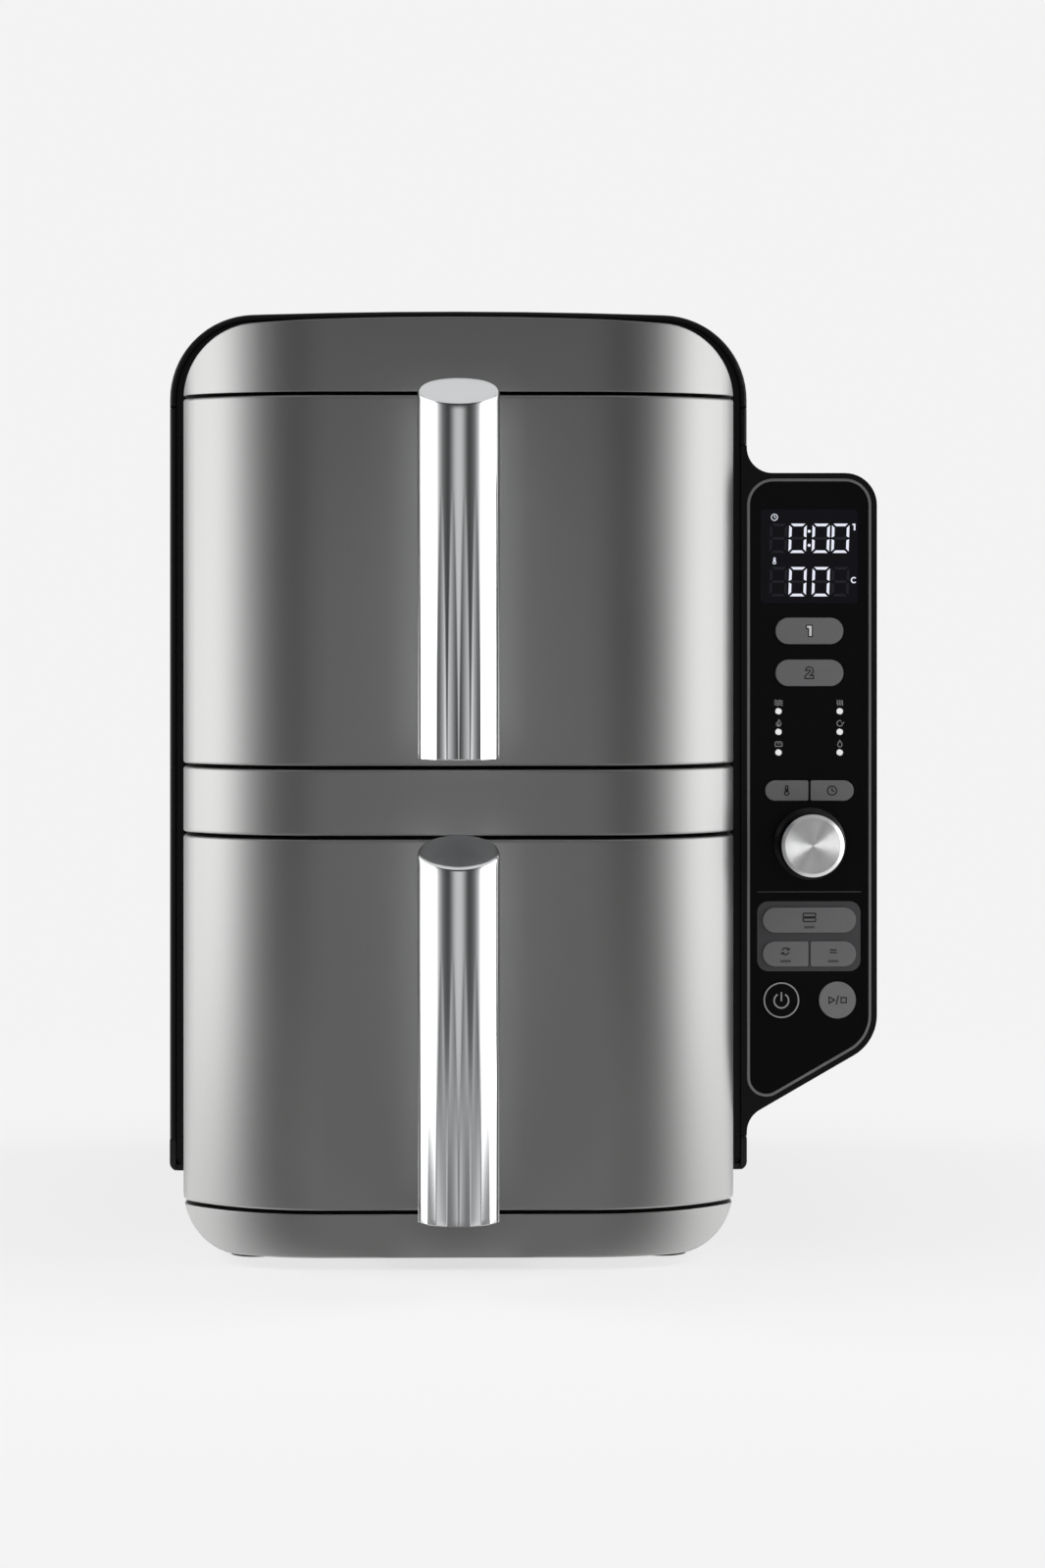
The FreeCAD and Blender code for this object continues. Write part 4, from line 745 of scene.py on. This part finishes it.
class FRYER_OT_pod(bpy.types.Operator):
    """Finish the control pod's trim and panel and print the panel's marks"""

    bl_idname = "fryer.pod"
    bl_label = "Control pod"

    # Signs over the left and right lights, and the lights' heights and distance from the middle
    MODES = ((-1, (BREEZE, FLAME, LOAF)), (1, (HEAT, TURN, DROP)))
    LIGHT_ROWS = (220.9, 212.4, 203.9)
    LIGHT_SIDE = 12.65
    MODE_RISE = 3.5
    MODE_SIZE = 0.86
    MODE_LINE = 0.8
    # The plate's middle, width, height and corner radius, and the line's height, length and thinness
    PLATE = (144.4, 128.1, 42.6, 28.8, 4.5)
    DIVIDER = (146.4, 43.0, 0.6)

    def execute(self, context):
        look, marks = context.scene.fryer_finish, context.scene.fryer_marks
        coat(grained("trim_metal", look.trim, 0.34, 2400.0, 0.04, metallic=0.6), "pod_trim")
        coat(glossy_black("panel_gloss", look.panel, 0.07, 0.05), "control_panel")
        coat(lit("indicator_lamp", (1.0, 1.0, 1.0), 0.78), "indicator_lights")
        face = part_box("control_panel")[0].y
        centre = in_case(middle("control_panel")).x
        pale = ink("pale_print", look.print_pale)
        mark = Print(face, marks.relief)
        for side, icons in self.MODES:
            for icon, row in zip(icons, self.LIGHT_ROWS):
                mark.draw(icon, centre + side * self.LIGHT_SIDE, row + self.MODE_RISE,
                          marks.line * self.MODE_LINE, self.MODE_SIZE)
        mark.build("mode_marks", pale, "case", "light_white")
        plate = Print(face, marks.relief)
        plate.patch(round_box(*self.PLATE))
        plate.build("key_group_plate", ink("plate_print", look.plate), "case", "key_dark")
        line = Print(face, marks.relief)
        height, width, thinness = self.DIVIDER
        line.strip([(centre - width / 2, height), (centre + width / 2, height)], marks.line * thinness)
        line.build("panel_divider", ink("divider_print", (0.06, 0.06, 0.062)), "case", "key_dark")
        return {"FINISHED"}


class FRYER_OT_display(bpy.types.Operator):
    """Light the display's digits"""

    bl_idname = "fryer.display"
    bl_label = "Display"

    COLUMNS = (128.2, 136.15, 145.75, 153.8)
    ROWS = ((286.2, "-000"), (268.3, "-00-"))
    # Width, height and line of a digit
    DIGIT = (7.2, 12.1, 1.08)
    COLON = 144.5
    COLON_RISES = (0.26, 0.74)
    COLON_RADIUS = 0.62
    # Each sign's place, line and size, and the zone number's place and size
    SIGNS = ((CLOCK, 130.2, 300.9, 0.3, 0.85), (THERMOMETER, 130.2, 282.9, 0.3, 0.75),
             (CELSIUS, 163.0, 275.0, 0.52, 1.0))
    ZONE = (163.0, 296.9, 0.65)

    def execute(self, context):
        look, marks = context.scene.fryer_finish, context.scene.fryer_marks
        coat(glossy_black("display_window", look.window, 0.08, 0.06), "display_module")
        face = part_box("display_module")[0].y
        bright, dim = Print(face, marks.relief), Print(face, marks.relief)
        lean = math.tan(marks.slant)
        width, height, thick = self.DIGIT
        for base, text in self.ROWS:
            for x, letter in zip(self.COLUMNS, text):
                for name, points in segment_outlines(x, base, width, height, thick).items():
                    sheet = bright if name in LIT_SEGMENTS[letter] else dim
                    sheet.patch([(u + (v - base - height / 2) * lean, v) for u, v in points])
        base = self.ROWS[0][0]
        for rise in self.COLON_RISES:
            bright.patch(disc(self.COLON, base + height * rise, self.COLON_RADIUS))
        for sign in self.SIGNS:
            bright.draw(*sign)
        x, z, size = self.ZONE
        bright.patch([(x + u * size, z + v * size) for u, v in numeral_one(0)])
        bright.build("lit_segments", lit("segment_lit", marks.glow, marks.glow_strength), "case",
                     "light_white")
        dim.build("ghost_segments", grained("segment_ghost", marks.ghost, 0.4, 2000.0, 0.02,
                                            specular=0.15), "case", "display_gloss")
        return {"FINISHED"}


class FRYER_OT_keys(bpy.types.Operator):
    """Finish the keys and print a mark on each"""

    bl_idname = "fryer.keys"
    bl_label = "Keys"

    # Each key's sign, the sign's size, and how far below the middle a key's lamp lies
    SIGNS = (("temperature", THERMOMETER, 1.15, None), ("time", CLOCK, 1.25, None),
             ("stack", STACKED, 1.0, 2.9), ("sync", CYCLE, 0.95, 3.0), ("match", EQUAL, 0.85, 3.0))
    SIGN_LIFT = 1.1
    # Width, height and corner radius of a lamp
    LAMP = (4.4, 1.1, 0.3)
    OUTLINE = 0.45
    # Places of the start key's signs, and half the width and height of the slash between them
    PLAY_SIDE, STOP_SIDE = -2.5, 2.6
    SLASH = (0.45, 1.9)
    # Radius and line of the ring round the power sign
    RING = (7.1, 0.55)
    POWER_DROP = 0.2
    POWER_LINE = 0.6

    def execute(self, context):
        look, marks = context.scene.fryer_finish, context.scene.fryer_marks
        self.dark = ink("key_print", look.print_dark)
        pale = ink("key_pale_print", (0.62, 0.62, 0.63), 0.45)
        self.line = marks.line
        self.relief = marks.relief
        face = grained("key_face", look.key, 0.5, 2200.0, 0.05, specular=0.3, spread=0.08)
        coat(face, "zone_one_key", "zone_two_key", "stack_key", "temperature_key", "time_key",
             "sync_key", "match_key")
        coat(grained("start_face", look.start, 0.5, 2200.0, 0.05, specular=0.3, spread=0.08),
             "start_key")
        coat(glossy_black("power_face", look.panel, 0.12, 0.06), "power_key")
        self.digit("zone_one", numeral_one, pale)
        self.digit("zone_two", numeral_two, face)
        for sign in self.SIGNS:
            self.mark(*sign)
        self.start_mark()
        self.power_mark()
        return {"FINISHED"}

    def sheet(self, key, layer=1):
        """An empty print on a key's face, and the face's middle; layers lie over each other."""
        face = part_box(key + "_key")[0].y - (layer - 1) * self.relief * MILLI
        place = in_case(middle(key + "_key"))
        return Print(face, self.relief), place.x, place.z

    def put(self, mark, key, name, material):
        mark.build(f"{key}_{name}", material, key + "_button", "key_dark")

    def digit(self, key, numeral, fill):
        """A bold number with a dark outline."""
        for layer, (name, grow, material) in enumerate((("outline", self.OUTLINE, self.dark),
                                                        ("number", 0.0, fill)), 1):
            mark, x, z = self.sheet(key, layer)
            mark.patch([(x + u, z + v) for u, v in numeral(grow)])
            self.put(mark, key, name, material)

    def mark(self, key, icon, size, drop):
        """A sign on a key, lifted where a lamp lies under it."""
        mark, x, z = self.sheet(key)
        lift = self.SIGN_LIFT if drop else 0.0
        mark.draw(icon, x, z + lift, self.line, size)
        self.put(mark, key, "mark", self.dark)
        if drop:
            lamp, x, z = self.sheet(key)
            lamp.patch(round_box(x, z - drop, *self.LAMP))
            self.put(lamp, key, "lamp", grained(key + "_lamp_cover", (0.062, 0.062, 0.064), 0.4, 1500.0,
                                                0.02, specular=0.2))

    def start_mark(self):
        mark, x, z = self.sheet("start")
        mark.draw(PLAY, x + self.PLAY_SIDE, z, self.line)
        lean, reach = self.SLASH
        mark.strip([(x - lean, z - reach), (x + lean, z + reach)], self.line)
        mark.draw(STOP, x + self.STOP_SIDE, z, self.line)
        self.put(mark, "start", "mark", self.dark)

    def power_mark(self):
        mark, x, z = self.sheet("power")
        radius, line = self.RING
        mark.strip(disc(x, z, radius), line, closed=True)
        mark.draw(POWER, x, z - self.POWER_DROP, self.POWER_LINE)
        self.put(mark, "power", "mark", ink("power_print", (0.29, 0.29, 0.295)))


class FRYER_OT_dial(bpy.types.Operator):
    """Finish the knob and turn its metal cap"""

    bl_idname = "fryer.dial"
    bl_label = "Dial"

    SIDES = 160
    FACE_RINGS = 12
    # Width and height of the chamfer
    BEVEL = (0.0014, 0.0009)
    STEEL = (0.70, 0.70, 0.705)
    STEEL_ROUGH = 0.29
    RING_LEAN = 9.0
    SHARP = 25

    def execute(self, context):
        coat(glossy_black("knob_gloss", (0.008, 0.008, 0.008), 0.2, 0.3), "dial_knob")
        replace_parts(self.cap(), "dial_cap")
        return {"FINISHED"}

    def cap(self):
        """A turned cap with a bright chamfer; its own z axis is the dial's, so the lines run round."""
        low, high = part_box("dial_cap")
        radius = (high.x - low.x) / 2
        thick = high.y - low.y
        bevel, slant = self.BEVEL
        inner = radius - bevel
        # The cap's steel has a painted highlight in its base colour, lighter along one axis and darker
        # across it
        steel = spun_metal("spun_steel_painted_glint", self.STEEL, self.STEEL_ROUGH, self.RING_LEAN, inner)
        profile = [(radius, 0.0), (radius, thick - slant)]
        profile += [(inner * (1 - ring / self.FACE_RINGS), thick) for ring in range(self.FACE_RINGS)]
        angles = [math.tau * side / self.SIDES for side in range(self.SIDES)]
        mesh = bmesh.new()
        loft(mesh, [[(distance * math.cos(a), distance * math.sin(a), height) for a in angles]
                    for distance, height in profile])
        centre = middle("dial_cap")
        place = (Matrix.Translation((centre.x, high.y, centre.z))
                 @ Matrix.Rotation(math.radians(90), 4, "X"))
        return show(mesh, "turned_cap", steel, "dial", self.SHARP, place)


class FRYER_OT_chambers(bpy.types.Operator):
    """Finish the hot chambers, their heaters, fans and motors"""

    bl_idname = "fryer.chambers"
    bl_label = "Chambers"

    def execute(self, context):
        look = context.scene.fryer_finish
        sheet = brushed("chamber_steel", look.steel, 0.36, (40.0, 8.0, 900.0))
        coat(sheet, "drawer_runners", *each("cavity", "fan_guard"))
        coat(grained("element_sheath", (0.15, 0.14, 0.13), 0.42, 900.0, 0.12, metallic=0.8),
             *each("heater"))
        coat(brushed("fan_sheet", (0.60, 0.60, 0.60), 0.34, (300.0, 300.0, 300.0)), *each("fan"))
        coat(grained("cooler_plastic", (0.022, 0.022, 0.022), 0.5, 1500.0, 0.1), *each("cooling_fan"))
        coat(brushed("shaft_steel", (0.56, 0.56, 0.56), 0.22, (40.0, 1500.0, 40.0)),
             *each("motor_shaft"))
        coat(grained("motor_plate", (0.26, 0.26, 0.26), 0.42, 1300.0, 0.1, metallic=0.8),
             *each("motor"))
        return {"FINISHED"}


class FRYER_OT_baskets(bpy.types.Operator):
    """Finish the baskets, crisper plates and bumpers"""

    bl_idname = "fryer.baskets"
    bl_label = "Baskets"

    def execute(self, context):
        look = context.scene.fryer_finish
        coat(speckled_coat("non_stick", look.coating), *each("basket", "crisper_plate"))
        coat(grained("silicone", (0.045, 0.045, 0.046), 0.65, 700.0, 0.15, specular=0.3),
             *each("crisper_bumpers"))
        return {"FINISHED"}


class FRYER_OT_electronics(bpy.types.Operator):
    """Finish the boards and the dial's encoder"""

    bl_idname = "fryer.electronics"
    bl_label = "Electronics"

    def execute(self, context):
        coat(circuit_board("circuit_board"), "control_board", "power_board")
        coat(grained("encoder_case", (0.10, 0.10, 0.10), 0.45, 1200.0, 0.08), "dial_encoder")
        return {"FINISHED"}


class FRYER_OT_studio(bpy.types.Operator):
    """Set up the floor, the light and the camera"""

    bl_idname = "fryer.studio"
    bl_label = "Studio"

    FLOOR = 6.0
    FLOOR_SHADE = 0.80
    # How much of the shadow the camera sees near the fryer, and where it fades out
    SHADOW_SHARE = 0.22
    SHADOW_REACH = (0.25, 0.8)
    # Size of each side light, where it stands and what it looks at, from the case's own origin
    LIGHT_SIZE = (1.8, 1.9)
    LIGHT_PLACE = (1.55, 0.10, 0.85)
    LIGHT_AIM = (0.0, 0.05, 0.25)
    # Glow of the screens by degrees from the camera: far off, in the gap round it, and near the fryer
    SIDE_GLOW = ((0, 0.05), (30, 0.06), (36, 0.09), (43, 0.16), (52, 0.44), (57, 0.72), (61, 1.2),
                 (66, 2.3), (72, 3.4), (80, 3.8), (95, 3.3), (112, 2.5), (128, 1.4))
    GAP_GLOW = ((0, 0.57), (8, 0.51), (14, 0.31), (18, 0.16), (25, 0.0))
    NEAR_GLOW = ((0, 0.17), (10, 0.20), (16, 0.36), (24, 0.68), (32, 0.66), (40, 0.42), (52, 0.27),
                 (62, 0.24), (72, 0.50), (80, 1.0), (95, 1.9), (110, 2.2), (126, 1.6))
    SCREEN_PEAK = 4.0
    # Heights over which the gap and the far glow fade, what is left of the far glow above, and
    # distances over which the near glow fades
    GAP_FADE = (0.44, 0.56)
    WALL_FADE = (0.62, 0.95)
    WALL_REST = 0.3
    NEAR_FADE = (0.30, 1.0)
    # Share of the backdrop's shade that mirrors and windows see
    MIRROR_SHARE = 0.3
    SCREEN_SPAN = 130.0
    SCREEN_RADIUS = (0.03, 1.3)
    SCREEN_HEIGHT = 1.4
    SCREEN_STEPS = 40

    def execute(self, context):
        studio = context.scene.fryer_studio
        self.light_world(studio)
        self.lay_floor(studio)
        self.hang_lights(studio)
        self.stand_screens()
        self.stand_camera(studio)
        context.scene.view_settings.view_transform = "Standard"
        return {"FINISHED"}

    def light_world(self, studio):
        """Pale where the camera looks, a little less bright as a light."""
        world = bpy.data.worlds.new("studio")
        bpy.context.scene.world = world
        world.use_nodes = True
        tree = Tree(world.node_tree)
        even, seen = [tree.node("ShaderNodeBackground", None, {"Color": rgba((level,) * 3)})
                      for level in (studio.ambient, studio.backdrop)]
        mixed = tree.node("ShaderNodeMixShader", None, {0: self.looked_at(tree), 1: even, 2: seen})
        tree.feed(world.node_tree.nodes["World Output"].inputs["Surface"], mixed)

    def looked_at(self, tree):
        """Share of the backdrop's shade in what a ray sees: all for the camera, some for a mirror."""
        camera, mirror, window = [tree.node("ShaderNodeLightPath", output=f"Is {kind} Ray")
                                  for kind in ("Camera", "Glossy", "Transmission")]
        return camera | (mirror | window) * self.MIRROR_SHARE

    def lay_floor(self, studio):
        """A pale floor; the camera sees its even shade with a soft shadow round the fryer."""
        mesh = bmesh.new()
        corners = ((-1, -1), (1, -1), (1, 1), (-1, 1))
        mesh.faces.new([mesh.verts.new((x * self.FLOOR, y * self.FLOOR, 0.0)) for x, y in corners])
        material = bpy.data.materials.new("floor_pale")
        material.use_nodes = True
        tree = Tree(material.node_tree)
        place = tree.node("ShaderNodeTexCoord", output="Object")
        away = tree.vector("LENGTH", place, output="Value")
        even_share = tree.blend(away, *self.SHADOW_REACH, 1 - self.SHADOW_SHARE, 1.0)
        diffuse = tree.node("ShaderNodeBsdfDiffuse", None, {"Color": rgba((self.FLOOR_SHADE,) * 3)})
        even = tree.node("ShaderNodeEmission", None, {"Color": rgba((studio.backdrop,) * 3)})
        mixed = tree.node("ShaderNodeMixShader", None,
                          {0: self.looked_at(tree) * even_share, 1: diffuse, 2: even})
        tree.feed(material.node_tree.nodes["Material Output"].inputs["Surface"], mixed)
        self.stage_piece(mesh, "floor", material)

    def stage_piece(self, mesh, name, material):
        piece = make_object(mesh, name, material)
        return piece

    def hang_lights(self, studio):
        x, y, z = self.LIGHT_PLACE
        for side, name in ((-1, "left_light"), (1, "right_light")):
            data = bpy.data.lights.new(name, "AREA")
            data.shape = "RECTANGLE"
            data.size, data.size_y = self.LIGHT_SIZE
            data.energy = studio.side_light
            lamp = bpy.data.objects.new(name, data)
            bpy.context.scene.collection.objects.link(lamp)
            lamp.visible_camera = False
            lamp.visible_glossy = False
            lamp.location = CASE + Vector((side * x, y, z))
            aim = CASE + Vector(self.LIGHT_AIM) - lamp.location
            lamp.rotation_euler = aim.to_track_quat("-Z", "Y").to_euler()

    def screen_cloth(self):
        """Light that varies with the angle from the camera, and with nearness on the floor."""
        material = bpy.data.materials.new("screen_cloth")
        material.use_nodes = True
        tree = Tree(material.node_tree)
        place = tree.node("ShaderNodeTexCoord", output="Object")
        x, y, z = [tree.node("ShaderNodeSeparateXYZ", None, {0: place}, output=axis)
                   for axis in range(3)]
        turn = tree.node("ShaderNodeMath", {"operation": "ARCTAN2"}, {0: x, 1: 0.0 - y})
        aside = tree.node("ShaderNodeMath", {"operation": "ABSOLUTE"}, {0: turn})
        spread = aside / math.radians(self.SCREEN_SPAN)
        far, gap, close = [tree.node("ShaderNodeValToRGB", {"stops": self.stops(row)}, {0: spread})
                           for row in (self.SIDE_GLOW, self.GAP_GLOW, self.NEAR_GLOW)]
        away = tree.vector("LENGTH", place, output="Value")
        low = tree.blend(z, *self.GAP_FADE, 1.0, 0.0)
        dimming = tree.blend(z, *self.WALL_FADE, 1.0, self.WALL_REST)
        near = tree.blend(away, *self.NEAR_FADE, 1.0, 0.0)
        wall = far * dimming + gap * low
        glow = (wall + (close - wall) * near) * self.SCREEN_PEAK
        shader = tree.node("ShaderNodeEmission", None, {"Color": glow})
        tree.feed(material.node_tree.nodes["Material Output"].inputs["Surface"], shader)
        return material

    def stops(self, row):
        return [(angle / self.SCREEN_SPAN, glow / self.SCREEN_PEAK) for angle, glow in row]

    def stand_screens(self):
        """A curved screen round the camera's side and a floor sheet that only reflections see."""
        mesh = bmesh.new()
        near, far = self.SCREEN_RADIUS
        columns = []
        for step in range(-self.SCREEN_STEPS, self.SCREEN_STEPS + 1):
            angle = math.radians(self.SCREEN_SPAN * step / self.SCREEN_STEPS)
            out = Vector((math.sin(angle), -math.cos(angle), 0.0))
            column = [out * near, out * far, out * far + Vector((0.0, 0.0, self.SCREEN_HEIGHT))]
            columns.append([mesh.verts.new(point) for point in column])
        for first, second in zip(columns, columns[1:]):
            for low in range(len(column) - 1):
                mesh.faces.new((first[low], second[low], second[low + 1], first[low + 1]))
        screen = self.stage_piece(mesh, "screens", self.screen_cloth())
        screen.location = CASE + Vector((0.0, 0.0, MILLI))
        screen.visible_camera = False
        screen.visible_diffuse = False
        screen.visible_shadow = False
        screen.visible_transmission = False

    def stand_camera(self, studio):
        data = bpy.data.cameras.new("camera")
        data.lens = studio.lens
        data.shift_y = -studio.drop
        camera = bpy.data.objects.new("camera", data)
        bpy.context.scene.collection.objects.link(camera)
        camera.location = CASE + Vector((0.0, -studio.distance, studio.eye))
        turn = math.atan2(studio.aim, studio.distance)
        camera.rotation_euler = (math.radians(90), 0.0, -turn)
        bpy.context.scene.camera = camera


class FRYER_PT_looks(bpy.types.Panel):
    """The fryer's operators and values"""

    bl_idname = "FRYER_PT_looks"
    bl_label = "Air fryer"
    bl_space_type = "VIEW_3D"
    bl_region_type = "UI"
    bl_category = "Fryer"

    def draw(self, context):
        for operator in OPERATORS:
            self.layout.operator(operator.bl_idname)
        for group in GROUPS:
            values = getattr(context.scene, group)
            box = self.layout.box()
            for name in values.__annotations__:
                box.prop(values, name)


GROUPS = {"fryer_finish": FryerFinish, "fryer_grip": FryerGrip, "fryer_marks": FryerMarks,
          "fryer_studio": FryerStudio}
OPERATORS = (FRYER_OT_front, FRYER_OT_casing, FRYER_OT_handles, FRYER_OT_pod, FRYER_OT_display,
             FRYER_OT_keys, FRYER_OT_dial, FRYER_OT_chambers, FRYER_OT_baskets, FRYER_OT_electronics,
             FRYER_OT_studio)
CLASSES = (*GROUPS.values(), *OPERATORS, FRYER_PT_looks)


def register():
    for item in CLASSES:
        bpy.utils.register_class(item)
    for name, group in GROUPS.items():
        setattr(bpy.types.Scene, name, PointerProperty(type=group))


def unregister():
    for name in GROUPS:
        delattr(bpy.types.Scene, name)
    for item in reversed(CLASSES):
        bpy.utils.unregister_class(item)


def main():
    register()
    for operator in OPERATORS:
        area, name = operator.bl_idname.split(".")
        getattr(getattr(bpy.ops, area), name)()


if __name__ == "__main__":
    main()
